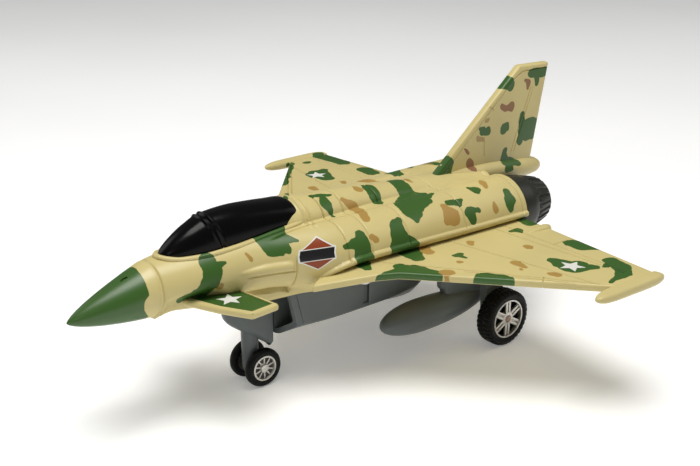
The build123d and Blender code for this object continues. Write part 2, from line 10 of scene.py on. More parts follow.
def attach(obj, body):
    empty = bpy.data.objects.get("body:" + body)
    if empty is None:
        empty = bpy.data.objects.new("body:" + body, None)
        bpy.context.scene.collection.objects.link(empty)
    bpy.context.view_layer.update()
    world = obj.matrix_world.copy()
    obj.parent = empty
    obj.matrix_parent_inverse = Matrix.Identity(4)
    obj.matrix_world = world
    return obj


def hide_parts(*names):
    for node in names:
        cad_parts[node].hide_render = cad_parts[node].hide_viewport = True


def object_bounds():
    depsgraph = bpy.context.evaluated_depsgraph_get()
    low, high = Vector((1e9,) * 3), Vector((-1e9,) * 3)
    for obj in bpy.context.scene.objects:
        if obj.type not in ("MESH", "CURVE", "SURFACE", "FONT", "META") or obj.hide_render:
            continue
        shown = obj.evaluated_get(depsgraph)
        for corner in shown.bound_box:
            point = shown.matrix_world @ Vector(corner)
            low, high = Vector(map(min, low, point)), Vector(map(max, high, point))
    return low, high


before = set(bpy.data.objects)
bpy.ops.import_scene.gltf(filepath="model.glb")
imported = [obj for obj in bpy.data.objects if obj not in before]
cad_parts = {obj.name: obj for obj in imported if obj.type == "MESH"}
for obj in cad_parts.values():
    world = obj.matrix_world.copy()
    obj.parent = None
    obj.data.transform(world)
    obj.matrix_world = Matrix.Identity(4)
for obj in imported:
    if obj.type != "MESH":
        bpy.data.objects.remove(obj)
cad_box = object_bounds()

# Shapes are drawn in millimetres, as (out to port, station aft of the nose tip, height),
# and go into the shared frame through place(). Starboard pieces mirror the port ones.
MM = 0.001
NOSE_Y = cad_box[0][1]
BODY = "airframe"
NOSE_WHEELS = ("nose_wheels", "nose_wheels")  # the bodies of port and starboard wheels
MAIN_WHEELS = ("main_wheel_left", "main_wheel_right")


def place(points):
    """Millimetre places to metres in the shared frame."""
    rows = np.asarray(points, float) * MM
    rows[..., 1] += NOSE_Y
    return rows


# ================================================================ meshes
def new_mesh(name, verts, faces, sharp_angle=35.0):
    """A smooth-shaded mesh object from millimetre points, sharp over an angle."""
    mesh = bpy.data.meshes.new(name)
    mesh.from_pydata([tuple(v) for v in place(verts)], [], [tuple(f) for f in faces])
    obj = bpy.data.objects.new(name, mesh)
    bpy.context.scene.collection.objects.link(obj)
    shade(obj, sharp_angle)
    return obj


def shade(obj, sharp_angle=35.0):
    """Consistent outward normals, smooth but for edges sharper than the angle."""
    work = bmesh.new()
    work.from_mesh(obj.data)
    bmesh.ops.recalc_face_normals(work, faces=work.faces)
    work.to_mesh(obj.data)
    work.free()
    obj.data.shade_smooth()
    obj.data.set_sharp_from_angle(angle=radians(sharp_angle))


def tube(name, rings, sharp_angle=35.0, hoop=False):
    """A mesh over equal rings of points: ends capped by fans, or none where it is a hoop."""
    rings = [np.asarray(ring, float) for ring in rings]
    if hoop:
        rings.append(rings[0])
    count = len(rings[0])
    verts = np.concatenate(rings)
    faces = []
    for i in range(len(rings) - 1):
        for j in range(count):
            k = (j + 1) % count
            faces.append((i * count + j, i * count + k, (i + 1) * count + k, (i + 1) * count + j))
    ends = [] if hoop else [(0, True), (len(rings) - 1, False)]
    for row, flip in ends:
        hub = len(verts)
        verts = np.vstack([verts, rings[row].mean(0)])
        for j in range(count):
            k = (j + 1) % count
            a, b = row * count + j, row * count + k
            faces.append((hub, b, a) if flip else (hub, a, b))
    return new_mesh(name, verts, faces, sharp_angle)


def full_turn(steps):
    """Even angles round a circle."""
    return np.linspace(0, 2 * pi, steps, endpoint=False)


def ring_about(axis, along, centre, turn, first, second=None):
    """A ring across an axis, its two radii in the order of the other two axes."""
    second = first if second is None else second
    level = np.full(len(turn), float(along))
    u, v = centre[0] + first * np.cos(turn), centre[1] + second * np.sin(turn)
    return np.stack({"x": (level, u, v), "y": (u, level, v), "z": (u, v, level)}[axis], 1)


def lathe(profile, centre, axis="y", steps=96, wobble=None):
    """Rings that turn a profile of (along, radius) about an axis through centre."""
    turn = full_turn(steps)
    rings = []
    for along, radius in profile:
        radius = radius * np.ones(steps)
        if wobble is not None:
            radius = wobble(turn, along, radius)
        rings.append(ring_about(axis, along, centre, turn, radius))
    return rings


def curve_through(points):
    """A smooth function through (x, y, ...) rows that never overshoots them."""
    table = np.asarray(points, float)
    xs, ys = table[:, 0], table[:, 1:]
    slopes = np.diff(ys, axis=0) / np.diff(xs)[:, None]
    tangents = np.zeros_like(ys)
    tangents[0], tangents[-1] = slopes[0], slopes[-1]
    for i in range(1, len(xs) - 1):
        before, after = slopes[i - 1], slopes[i]
        same = before * after > 0
        mean = 2 * before * after / np.where(same, before + after, 1)
        tangents[i] = np.where(same, mean, 0)

    def value(x):
        x = np.clip(np.asarray(x, float), xs[0], xs[-1])
        i = np.clip(np.searchsorted(xs, x) - 1, 0, len(xs) - 2)
        h = (xs[i + 1] - xs[i])
        t = (x - xs[i]) / h
        t, h = t[..., None], h[..., None]
        out = (2 * t**3 - 3 * t**2 + 1) * ys[i] + (t**3 - 2 * t**2 + t) * h * tangents[i]
        out += (-2 * t**3 + 3 * t**2) * ys[i + 1] + (t**3 - t**2) * h * tangents[i + 1]
        return np.moveaxis(out, -1, 0)

    return value


def blend_min(a, b, width):
    """The lesser of two distances, rounded where they are within width."""
    h = np.clip(0.5 + 0.5 * (b - a) / width, 0, 1)
    return b * (1 - h) + a * h - width * h * (1 - h)


def bell(x, middle, width):
    """1 at the middle, falling smoothly to nothing."""
    return np.exp(-(((x - middle) / width) ** 2))


def step(x, start, end):
    """0 before start, 1 after end, smooth between."""
    t = np.clip((x - start) / (end - start), 0, 1)
    return t * t * (3 - 2 * t)


# ================================================================ fuselage
RING_Y = 33.8  # where the nose cone meets the body
NOSE_SEAM_Y = 35.5  # the moulded line round the body behind it
TAIL_Y = 216.0
UPPER = curve_through([  # station, lobe offset, lobe height, lobe radius
    (33.8, 0.0, 56.1, 11.7),
    (50.0, 2.4, 57.2, 12.3),
    (66.0, 4.4, 58.4, 12.4),
    (82.0, 7.4, 58.8, 12.5),
    (96.0, 11.2, 58.2, 13.4),
    (112.0, 14.6, 56.9, 14.8),
    (132.0, 15.8, 56.0, 15.6),
    (165.0, 16.6, 55.6, 16.0),
    (190.0, 17.0, 55.5, 16.3),
    (216.0, 17.0, 55.5, 16.4),
])
LOWER = curve_through([  # station, half width, middle height, half height
    (33.8, 8.2, 50.4, 5.0),
    (41.0, 7.6, 51.0, 4.8),
    (48.0, 7.8, 50.6, 5.2),
    (57.0, 9.2, 49.4, 5.6),
    (66.0, 12.2, 47.8, 5.4),
    (78.0, 15.0, 46.2, 4.8),
    (89.0, 16.8, 46.0, 4.4),
    (96.0, 19.0, 46.8, 4.8),
    (104.0, 22.4, 47.6, 5.6),
    (114.0, 26.4, 49.0, 6.4),
    (124.0, 29.0, 50.0, 6.8),
    (140.0, 29.6, 50.0, 7.0),
    (190.0, 30.0, 50.0, 7.0),
    (216.0, 30.0, 50.0, 7.0),
])
HUMP = curve_through([  # station, half width, foot, top of the spine
    (92.0, 10.0, 70.0, 79.2),
    (100.0, 12.4, 70.0, 79.8),
    (110.0, 12.2, 70.2, 79.4),
    (124.0, 10.8, 70.3, 78.7),
    (136.0, 9.9, 70.4, 78.0),
    (165.0, 9.4, 70.2, 74.9),
    (190.0, 9.0, 69.8, 73.4),
    (216.0, 8.4, 68.6, 71.6),
])
BEAD = curve_through([  # station, offset, height, radius of the rail along the body
    (96.0, 21.2, 48.6, 0.6),
    (99.0, 23.7, 50.8, 1.0),
    (103.0, 26.4, 53.4, 1.2),
    (107.0, 28.4, 55.2, 1.3),
    (112.0, 29.7, 56.7, 1.4),
    (118.0, 30.5, 57.6, 1.5),
    (133.0, 30.9, 57.8, 1.5),
    (149.0, 31.3, 57.8, 1.5),
    (172.0, 32.1, 57.6, 1.5),
    (203.0, 32.8, 57.2, 1.5),
    (216.0, 33.0, 57.0, 1.4),
])
RING_GROOVES = [113.0, 124.5, 144.5, 177.0, 213.2]
COLLAR = (103.0, 105.6)  # the two raised bands behind the canopy
SIDE_JOINT = 91.0  # the upright line behind the foreplane
BULGE_START = 66.5  # of the teardrop beside the cockpit
BULGE_END = 89.8
SEAM_X = 14.3  # the lengthwise panel line along each shoulder
SEAM_END = 186.0


def lobes_field(x, y, z):
    """The two nacelle lobes, which part into round pipes towards the tail."""
    off, mid, rad = UPPER(y)
    below = step(mid - z, 0, 8)
    pinch = 1 + 0.85 * below * step(y, 34, 42) * (1 - step(y, 50, 65))
    flat = 1 + below * (0.1 * (1 - step(y, 40, 60)) + 0.06 * bell(y, 42, 5))
    tuck = 1 + 0.3 * step(mid + 0.4 - z, 0, 1.2) * step(y, 107, 117)
    lobes = np.hypot(np.maximum(x - off, 0) * pinch * tuck, (z - mid) * flat) - rad
    out = (x - off) * np.where(x > off, tuck, 1)
    round_pair = blend_min(np.hypot(out, z - mid) - rad, np.hypot(x, z - 60.0) - 8.0, 4.0)
    apart = step(y, 188.0, 206.0)
    return lobes * (1 - apart) + round_pair * apart


def lower_field(x, y, z):
    """The lower moulding, a box with round corners."""
    half, low, tall = LOWER(y)
    power = 3.2
    box = ((x / half) ** power + (np.abs(z - low) / tall) ** power) ** (1 / power)
    return (box - 1) * np.minimum(half, tall)


def spine_field(x, y, z):
    """The spine from the canopy to the fin."""
    width, foot, top = HUMP(y)
    arch = (np.hypot(x / width, np.maximum(z - foot, 0) / (top - foot)) - 1) * 7.0
    arch = np.maximum(arch, foot - 8 - z)
    return np.maximum(arch, 94.0 - y)


def rail_field(x, y, z):
    """The rail along each side above the wing's root."""
    bead_x, bead_z, bead_r = BEAD(y)
    return np.maximum(np.hypot(x - bead_x, z - bead_z) - bead_r, 96.0 - y)


def bulge_height(y):
    """Height of the middle line of the teardrop beside the cockpit."""
    return 59.6 - 0.02 * (y - BULGE_START)


def bulge_field(x, y, z):
    """The teardrop beside the cockpit, which swells from a point and ends short."""
    off, _, rad = UPPER(y)
    swell = np.sqrt(np.clip((y - BULGE_START) / 11, 0, 1))
    swell = swell * (1 - step(y, BULGE_END - 1.2, BULGE_END))
    drop = np.hypot(x - (off + rad - 0.6), z - bulge_height(y)) - 2.3 * swell
    return drop + 5 * (swell <= 0)


def moulded_lines(x, y, z):
    """Depth of the lines let into the body, less the height of the collar's bands."""
    rings = sum(bell(y, station, 0.3) for station in RING_GROOVES) * step(z, 56.5, 58.5)
    collar = (bell(y, COLLAR[0], 0.8) + bell(y, COLLAR[1], 0.6)) * step(z, 70.5, 73.0)
    seam = bell(x, SEAM_X, 0.38) * step(z, 62, 64) * step(y, 84, 87)
    seam = seam * (1 - step(y, SEAM_END - 3, SEAM_END))
    joint = bell(y, SIDE_JOINT, 0.34) * step(z, 49, 50) * (1 - step(z, 60, 64)) * step(x, 12, 14)
    foot = bell(z, bulge_height(y) - 2.3, 0.4) * step(y, 69, 72) * step(x, 8, 10)
    foot = foot * (1 - step(y, SIDE_JOINT - 1, SIDE_JOINT + 0.5))
    nose_seam = bell(y, NOSE_SEAM_Y, 0.3)
    return 0.65 * (rings + seam) - 0.75 * collar + 0.8 * joint + 0.45 * foot + 0.6 * nose_seam


def hull_field(x, y, z):
    """Roughly the distance in millimetres from the body's surface, negative inside."""
    x = np.abs(x)
    lobes = lobes_field(x, y, z)
    lower = lower_field(x, y, z)
    body = blend_min(lobes, lower, 1.6 - 1.2 * step(y, 62, 68) * (1 - step(y, 92, 100)))
    body = blend_min(body, spine_field(x, y, z), 0.6)
    body = blend_min(body, rail_field(x, y, z), 0.3)
    body = blend_min(body, bulge_field(x, y, z), 0.4)
    crease = bell(lobes - lower, 0, 0.6) * step(y, 62, 68)
    crease = crease * (1 - step(y, SIDE_JOINT - 1, SIDE_JOINT + 0.5))
    return body + 0.6 * crease + moulded_lines(x, y, z)


MIDDLE = curve_through([(33.8, 56.0), (60.0, 57.5), (100.0, 58.5), (216.0, 57.0)])  # height
NEAREST = 0.5  # between these distances from the middle line each ray meets the surface
FARTHEST = 60.0
HALVINGS = 34


def body_rings(stations, angles):
    """Rings of the body: along each ray from the middle line, where hull_field is nought."""
    y = np.repeat(np.asarray(stations, float)[:, None], len(angles), 1)
    ca, sa = np.cos(angles)[None, :], np.sin(angles)[None, :]
    centre = MIDDLE(y)[0]
    low, high = np.full(y.shape, NEAREST), np.full(y.shape, FARTHEST)
    for _ in range(HALVINGS):
        half = (low + high) / 2
        within = hull_field(half * ca, y, centre + half * sa) < 0
        low = np.where(within, half, low)
        high = np.where(within, high, half)
    r = (low + high) / 2
    return np.stack([r * ca, y, centre + r * sa], 2)


def on_body(station, degrees):
    """The place on the body's surface at a station and a clock angle above port."""
    return tuple(body_rings([station], [radians(degrees)])[0, 0])


def fuselage():
    """The tan body from the nose ring to the nacelles' ends."""
    stations = set(np.round(np.linspace(RING_Y, TAIL_Y, 166), 3))
    for y in RING_GROOVES:
        stations |= {round(y + d, 3) for d in (-0.6, -0.35, -0.15, 0.0, 0.15, 0.35, 0.6)}
    for y in (NOSE_SEAM_Y, SIDE_JOINT, *COLLAR):
        stations |= {round(y + d, 3) for d in (-1.4, -1.0, -0.6, -0.3, 0.0, 0.3, 0.6, 1.0, 1.4)}
    stations = sorted(stations)
    angles = set(np.round(full_turn(300), 4))
    for degrees in (-4, 45, 135, 184):  # closer together at the rails and shoulder seams
        angles |= {round((radians(degrees) + d * 0.012) % (2 * pi), 4) for d in range(-14, 15)}
    angles = np.array(sorted(angles))
    return tube("fuselage_skin", body_rings(stations, angles), 40)


# ================================================================ plates and cuts
def prism(name, outline, low, high, plane="xy"):
    """A mesh of an outline pushed out from low to high."""
    rings = []
    for level in (low, high):
        if plane == "xy":
            rings.append([(u, v, level) for u, v in outline])
        else:
            rings.append([(level, u, v) for u, v in outline])
    count = len(outline)
    faces = [tuple(range(count - 1, -1, -1)), tuple(range(count, 2 * count))]
    for j in range(count):
        k = (j + 1) % count
        faces.append((j, k, count + k, count + j))
    return new_mesh(name, np.array(rings[0] + rings[1], float), faces)


def soften(obj, width, segments=3, angle=40.0):
    """Rounds every edge sharper than angle by width millimetres."""
    modifier = obj.modifiers.new("soften", "BEVEL")
    modifier.width = width * MM
    modifier.segments = segments
    modifier.limit_method = "ANGLE"
    modifier.angle_limit = radians(angle)
    modifier.use_clamp_overlap = True
    freeze(obj)


def freeze(obj, sharp_angle=35.0):
    """Applies an object's modifiers."""
    graph = bpy.context.evaluated_depsgraph_get()
    mesh = bpy.data.meshes.new_from_object(obj.evaluated_get(graph))
    obj.modifiers.clear()
    old = obj.data
    obj.data = mesh
    bpy.data.meshes.remove(old)
    shade(obj, sharp_angle)


def carve(obj, cutters, sharp_angle=35.0):
    """Cuts a list of solids out of an object, one boolean each, and removes them."""
    for index, cutter in enumerate(cutters):
        modifier = obj.modifiers.new("cut%d" % index, "BOOLEAN")
        modifier.object = cutter
        modifier.operation = "DIFFERENCE"
        modifier.solver = "EXACT"
    freeze(obj, sharp_angle)
    for cutter in cutters:
        bpy.data.objects.remove(cutter)


def vee_bar(start, end, normal, width=0.75, depth=0.6):
    """A bar with a diamond section whose middle line lies on a surface."""
    start, end, normal = (np.array(v, float) for v in (start, end, normal))
    along = (end - start) / np.linalg.norm(end - start)
    across = np.cross(along, normal)
    rings = []
    for spot in (start, end):
        corners = (across * width / 2, normal * depth, -across * width / 2, -normal * depth)
        rings.append([spot + c for c in corners])
    return tube("vee", rings)


def mirror_piece(obj, name):
    """The starboard twin of a port piece, with its materials."""
    twin = obj.copy()
    twin.data = obj.data.copy()
    twin.name = name
    twin.data.name = name
    bpy.context.scene.collection.objects.link(twin)
    twin.data.transform(Matrix.Scale(-1, 4, (1, 0, 0)))
    twin.data.flip_normals()
    return twin


def join(objects, name):
    """One object out of several, keeping each part's material."""
    merged = bmesh.new()
    slots = []
    for obj in objects:
        offset = []
        for material in obj.data.materials:
            if material not in slots:
                slots.append(material)
            offset.append(slots.index(material))
        first = len(merged.faces)
        merged.from_mesh(obj.data)
        merged.faces.ensure_lookup_table()
        for face in merged.faces[first:]:
            face.material_index = offset[face.material_index] if offset else 0
        bpy.data.objects.remove(obj)
    mesh = bpy.data.meshes.new(name)
    merged.to_mesh(mesh)
    merged.free()
    for material in slots:
        mesh.materials.append(material)
    result = bpy.data.objects.new(name, mesh)
    bpy.context.scene.collection.objects.link(result)
    return result


def finish_piece(obj, nodes, material=None, body=BODY):
    """Gives a piece its body, slot and replaced CAD nodes."""
    if material is not None:
        obj.data.materials.clear()
        obj.data.materials.append(material)
    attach(obj, body)
    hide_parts(*nodes)


def both_sides(build, node, materials, bodies=(BODY, BODY)):
    """Finishes a port piece and its twin, which keep their own materials where None is given."""
    port = build()
    starboard = mirror_piece(port, port.name.replace("left", "right"))
    for obj, side, material, body in zip((port, starboard), ("left", "right"), materials, bodies):
        finish_piece(obj, ["%s_%s" % (node, side)], material, body)


# ================================================================ nose cone
def nose_cone():
    """A drooped ogive with a rounded tip and a small slot on top."""
    tip_z, ring_z, ring_r, power = 51.6, 56.1, 11.7, 0.67
    tip_r = 1.5
    turn = full_turn(180)
    rings = []
    for share in 0.001 + 0.999 * np.linspace(0, 1, 90) ** 1.6:
        y = RING_Y * share
        ball = sqrt(max(tip_r**2 - (tip_r - min(y, tip_r)) ** 2, 0.0004))
        ogive = ring_r * share**power
        blend = min(1.0, y / (1.6 * tip_r))
        radius = min(ball, ogive) * (1 - blend) + ogive * blend
        radius = max(radius, 0.02)
        z = tip_z + (ring_z - tip_z) * share
        flat = np.where(np.sin(turn) < 0, 1 - 0.09 * share**2, 1)
        rings.append(ring_about("y", y, (0, z), turn, radius, radius * flat))
    back = rings[-1].copy()
    back[:, 0] *= 0.97
    back[:, 2] = ring_z + (back[:, 2] - ring_z) * 0.97
    back[:, 1] += 0.5
    rings.append(back)
    cone = tube("nose_cone_skin", rings, 50)
    middle = np.array((1.7, 24.0, 63.9))
    along = np.array((0.0, 0.94, 0.34))
    outward = np.array((0.2, -0.33, 0.92))
    across = np.cross(along, outward)
    shallow, high = [], []
    for t in full_turn(20):
        spot = middle + along * (1.7 * cos(t)) + across * (0.8 * sin(t))
        shallow.append(spot - outward * 0.7)
        high.append(spot + outward * 2.5)
    carve(cone, [tube("slot", [shallow, high])], 50)
    return cone


# ================================================================ canopy
CANOPY_FRONT = 40.6
CANOPY_BACK = 101.6
CANOPY = curve_through([  # station, half width, foot, top
    (40.6, 1.2, 69.1, 69.8),
    (42.5, 3.6, 68.7, 71.6),
    (47.0, 6.0, 68.0, 75.0),
    (54.0, 8.2, 68.1, 79.0),
    (62.0, 9.6, 68.6, 82.0),
    (74.0, 10.4, 69.5, 82.7),
    (86.0, 10.5, 70.9, 82.0),
    (94.0, 10.6, 71.8, 81.2),
    (99.0, 10.4, 72.3, 80.8),
    (101.0, 10.0, 72.5, 80.2),
    (101.6, 9.3, 72.6, 79.4),
])


def canopy():
    """The gloss bubble with a double moulded arch that leans back towards its feet."""
    stations = sorted(set(np.round(np.concatenate([
        np.linspace(CANOPY_FRONT, 44, 12),
        np.linspace(44, 58, 20),
        np.linspace(58, 67, 76),
        np.linspace(67, CANOPY_BACK, 54),
    ]), 3)))
    angles = np.linspace(0, pi, 65)
    squash = 0.86
    rings = []
    for y in stations:
        half, foot, top = (float(v) for v in CANOPY(y))
        ring = []
        for angle in angles:
            across, up = np.sign(cos(angle)) * abs(cos(angle)) ** squash, sin(angle) ** squash
            arch = 64.4 - 4.4 * sin(angle)
            ridges = bell(y, arch - 1.2, 0.55) + bell(y, arch + 1.2, 0.55)
            swell = 0.55 * ridges - 0.3 * bell(y, arch, 0.4)
            ring.append(((half + swell) * across, y, foot + (top - foot + swell) * up))
        ring.append((-half * 0.98, y, foot - 1.6))
        ring.append((half * 0.98, y, foot - 1.6))
        rings.append(ring)
    return tube("canopy_bubble", rings, 60)


def canopy_sill():
    """The raised rim the canopy sits in."""
    path = []
    shares = (1 - np.cos(np.linspace(0, pi, 90))) / 2
    stations = CANOPY_FRONT + (CANOPY_BACK - CANOPY_FRONT) * shares
    for side, row in ((1, stations), (-1, stations[::-1])):
        for y in row:
            half, foot, _ = CANOPY(y)
            path.append((side * float(half), float(y), float(foot)))
    path = np.array(path)
    ahead = np.roll(path, -1, 0)
    behind = np.roll(path, 1, 0)
    along = ahead - behind
    along[:, 2] = 0
    along /= np.linalg.norm(along, axis=1)[:, None]
    outward = np.cross(along, (0, 0, 1.0))
    outward *= np.sign((outward * (path - path.mean(0))).sum(1))[:, None]
    section = [(0.9 + 1.25 * cos(angle), -0.25 + 1.15 * sin(angle)) for angle in full_turn(14)]
    rings = [[p + o * u + np.array((0, 0, v)) for u, v in section] for p, o in zip(path, outward)]
    return tube("canopy_sill", rings, 80, hoop=True)


# ================================================================ wings
WING_TOP = 54.6
WING_THICK = 3.2
WING_UNDER = WING_TOP - WING_THICK
WING_OUTLINE = [
    (29.0, 93.3),
    (42.0, 117.0),
    (46.0, 125.5),
    (110.6, 183.5),
    (110.6, 208.0),
    (30.8, 215.9),
    (24.0, 215.6),
    (22.0, 105.0),
]
WING_LINES = [
    ((33.0, 193.8), (104.0, 197.4)),
    ((34.0, 200.0), (104.0, 198.8)),
    ((32.5, 127.0), (60.0, 148.0)),
    ((60.0, 148.0), (105.6, 180.4)),
    ((62.0, 147.2), (106.4, 178.6)),
    ((33.0, 167.0), (104.0, 179.4)),
    ((90.4, 163.0), (86.4, 168.2)),
    ((64.0, 199.6), (64.0, 208.5)),
]


def wing():
    """The port wing panel: bevelled edges, panel lines, flap fairing and tip pod."""
    panel = prism("wing_panel", WING_OUTLINE, WING_UNDER, WING_TOP)
    soften(panel, 0.95, 3)
    droop_tip(panel, 117.0, 3.0)
    cutters = []
    for start, end in WING_LINES:
        for level, up in ((WING_TOP, 1), (WING_UNDER, -1)):
            cutters.append(vee_bar((*start, level), (*end, level), (0, 0, up)))
    carve(panel, cutters, 30)
    return join([panel, wingtip_pod(), flap_fairing()], "wing_skin_left")


def droop_tip(panel, station, drop):
    """Bends the point of the wing root down, from a crease at a station."""
    work = bmesh.new()
    work.from_mesh(panel.data)
    crease = tuple(place((0, station, 0)))
    parts = list(work.verts) + list(work.edges) + list(work.faces)
    bmesh.ops.bisect_plane(work, geom=parts, dist=0.00001, plane_co=crease, plane_no=(0, 1, 0))
    tip = min(vert.co.y for vert in work.verts)
    for vert in work.verts:
        ahead = max(0.0, (crease[1] - vert.co.y) / (crease[1] - tip))
        vert.co.z -= drop * MM * ahead
    work.to_mesh(panel.data)
    work.free()
    shade(panel)


def wingtip_pod():
    """A flattened pod with round ends and a fine ridge along its inner top."""
    start, end, x, z = 168.6, 210.6, 113.3, 53.2
    middle, reach = (start + end) / 2, (end - start) / 2
    turn = full_turn(48)
    rings = []
    for t in np.linspace(-pi / 2, pi / 2, 49):
        share = sin(t)
        fullness = max((1 - abs(share) ** 5) ** 0.5, 0.02)
        taper = 1 - 0.12 * (1 - share) / 2
        c, s = np.cos(turn), np.sin(turn)
        across = 3.6 * fullness * taper * np.sign(c) * np.abs(c) ** 0.8
        tall = 2.7 * fullness * taper * np.sign(s) * np.abs(s) ** 0.85
        tall = tall + 0.35 * fullness * bell(across, -1.6, 0.5) * (s > 0)
        rings.append(np.stack([x + across, np.full(48, middle + reach * share), z + tall], 1))
    return tube("wingtip_pod", rings, 60)


def flap_fairing():
    """A low tapered fairing that ends just past the trailing edge."""
    profile = [
        (199.0, 0.05), (200.5, 0.7), (204.0, 1.5), (209.0, 2.2),
        (213.0, 2.5), (215.4, 1.9), (216.0, 0.6), (216.1, 0.05),
    ]
    return tube("flap_fairing", lathe(profile, (47.0, WING_TOP - 0.9), steps=28), 60)


# ================================================================ canards
CANARD_TOP = 51.9
CANARD_UNDER = 48.9
CANARD_SUNK = 0.45  # how far the panels lie below the rim
CANARD_OUTLINE = [(8.0, 44.7), (24.4, 51.9), (36.9, 59.2), (35.5, 72.8), (8.0, 67.5)]


def inset_outline(outline, distance):
    """An outline moved inwards by a distance."""
    points = np.array(outline, float)
    count = len(points)
    moved = []
    for i in range(count):
        before, here, after = points[i - 1], points[i], points[(i + 1) % count]
        d1 = (here - before) / np.linalg.norm(here - before)
        d2 = (after - here) / np.linalg.norm(after - here)
        n1, n2 = np.array((-d1[1], d1[0])), np.array((-d2[1], d2[0]))
        bisector = (n1 + n2) / (1 + n1.dot(n2))
        moved.append(tuple(here + bisector * distance))
    return moved


def canard():
    """The port foreplane: a round rim with a sunk panel let into both faces."""
    plate = prism("canard_plate", CANARD_OUTLINE, CANARD_UNDER, CANARD_TOP)
    soften(plate, 1.25, 5)
    inner = inset_outline(CANARD_OUTLINE, 1.9)
    inner[0] = (6.0, inner[0][1] - 0.6)
    inner[-1] = (6.0, inner[-1][1] + 0.4)
    floors = (CANARD_TOP - CANARD_SUNK, CANARD_UNDER + CANARD_SUNK)
    upper_pocket = prism("pocket", inner, floors[0], CANARD_TOP + 2)
    lower_pocket = prism("pocket", inner, CANARD_UNDER - 2, floors[1])
    carve(plate, [upper_pocket, lower_pocket])
    plate.data.materials.append(tan_paint)
    plate.data.materials.append(green_panel)
    for face in plate.data.polygons:
        sunk = min(abs(face.center.z / MM - floor) for floor in floors) < 0.05
        face.material_index = int(sunk)
    plate.name = "canard_skin_left"
    return plate


# ================================================================ tail fin
FIN_OUTLINE = [
    (184.6, 70.0),
    (186.3, 73.2),
    (240.1, 118.5),
    (260.8, 117.8),
    (250.9, 68.0),
    (246.0, 64.0),
    (196.0, 64.0),
]
FIN_HALF = 2.1
FIN_FAIRING = curve_through([  # station, radius, height
    (188.0, 0.6, 72.2),
    (196.0, 3.4, 70.6),
    (208.0, 5.0, 69.2),
    (225.0, 5.7, 67.8),
    (245.0, 5.2, 66.4),
    (254.0, 4.2, 65.8),
    (258.4, 2.4, 65.4),
    (259.7, 0.3, 65.3),
])
FIN_LINES = [
    ((190.6, 72.6), (236.6, 112.4)),
    ((236.6, 112.4), (241.6, 115.4)),
    ((241.6, 115.4), (258.6, 115.5)),
    ((248.6, 107.0), (236.4, 76.0)),
    ((250.4, 107.0), (238.4, 76.0)),
    ((219.6, 101.6), (223.2, 99.2)),
    ((217.4, 86.6), (217.8, 77.4)),
]


def fin():
    """The tail fin with its panel lines and the fairing along its foot."""
    blade = prism("fin_blade", FIN_OUTLINE, -FIN_HALF, FIN_HALF, "yz")
    soften(blade, 1.3, 4)
    cutters = []
    for start, end in FIN_LINES:
        for side in (-1, 1):
            wall = side * FIN_HALF
            cutters.append(vee_bar((wall, *start), (wall, *end), (side, 0, 0), 0.6, 0.5))
    carve(blade, cutters, 30)
    rings = []
    turn = full_turn(48)
    for y in np.concatenate([np.linspace(188, 250, 60), np.linspace(250.5, 259.7, 26)]):
        radius, z = FIN_FAIRING(y)
        radius = radius - 0.25 * (bell(y, 208.0, 0.4) + bell(y, 220.0, 0.4))
        rings.append(ring_about("y", y, (0, z), turn, radius))
    return join([blade, tube("fin_fairing", rings, 60)], "tail_fin_skin")


# ================================================================ jet nozzles
def nozzle():
    """The port nozzle: smooth collar, ribbed petals, lip and inner cone."""
    centre = (17.0, 55.5)
    ribs = 24

    def petals(turn, along, radius):
        wave = np.clip(np.sin(ribs * turn) * 2.2, -1, 1)
        live = step(along, 228.6, 229.4) * (1 - step(along, 238.8, 239.7))
        return radius + 0.38 * wave * live

    outside = [
        (209.0, 12.4), (215.6, 12.4), (215.8, 14.2), (216.4, 14.6), (219.0, 14.7), (224.0, 14.4),
        (227.2, 13.9), (228.0, 13.4), (228.3, 12.8), (228.8, 12.9), (229.5, 12.8),
    ]
    outside += [(229.5 + d, 12.8 - 2.5 * (d / 10.0) ** 1.25) for d in np.linspace(1, 9.4, 10)]
    outside += [(239.8, 10.0), (240.0, 9.4), (239.6, 9.0)]
    bore_and_cone = [
        (236.0, 9.6), (230.0, 10.6), (222.0, 10.9), (221.5, 10.6), (221.5, 6.0),
        (226.0, 4.9), (231.0, 3.0), (234.0, 1.2), (234.6, 0.1),
    ]
    rings = lathe(outside + bore_and_cone, centre, steps=ribs * 12, wobble=petals)
    return tube("nozzle_skin_left", rings, 40)


# ================================================================ belly
BELLY = curve_through([  # station, half width, side bottom, keel bottom, keel half width
    (91.0, 16.4, 28.4, 20.8, 4.2),
    (120.0, 16.4, 26.8, 20.8, 4.2),
    (148.0, 16.0, 27.0, 20.8, 4.8),
    (157.0, 15.4, 27.4, 20.7, 6.4),
    (165.0, 14.4, 28.2, 21.2, 7.4),
    (171.0, 12.6, 31.0, 24.0, 7.4),
    (175.6, 10.6, 35.6, 30.4, 6.8),
    (177.9, 8.6, 39.6, 36.8, 6.0),
])
BELLY_TOP = 44.4
BELLY_MIDDLE = 40.6  # the height that the rounded end shrinks towards
MOUTH_WALL = 16.4  # the belly's half width at the intake mouths
HATCH_FRONT = 133.9


def round_corners(corners, radii, count=6):
    """A closed outline whose corners are turned into small arcs."""
    points = np.array(corners, float)
    outline = []
    for i, radius in enumerate(radii):
        before, here, after = points[i - 1], points[i], points[(i + 1) % len(points)]
        back = (before - here) / np.linalg.norm(before - here)
        ahead = (after - here) / np.linalg.norm(after - here)
        for t in np.linspace(0, 1, count):
            start, end = here + back * radius, here + ahead * radius
            outline.append((1 - t) ** 2 * start + 2 * t * (1 - t) * here + t**2 * end)
    return outline


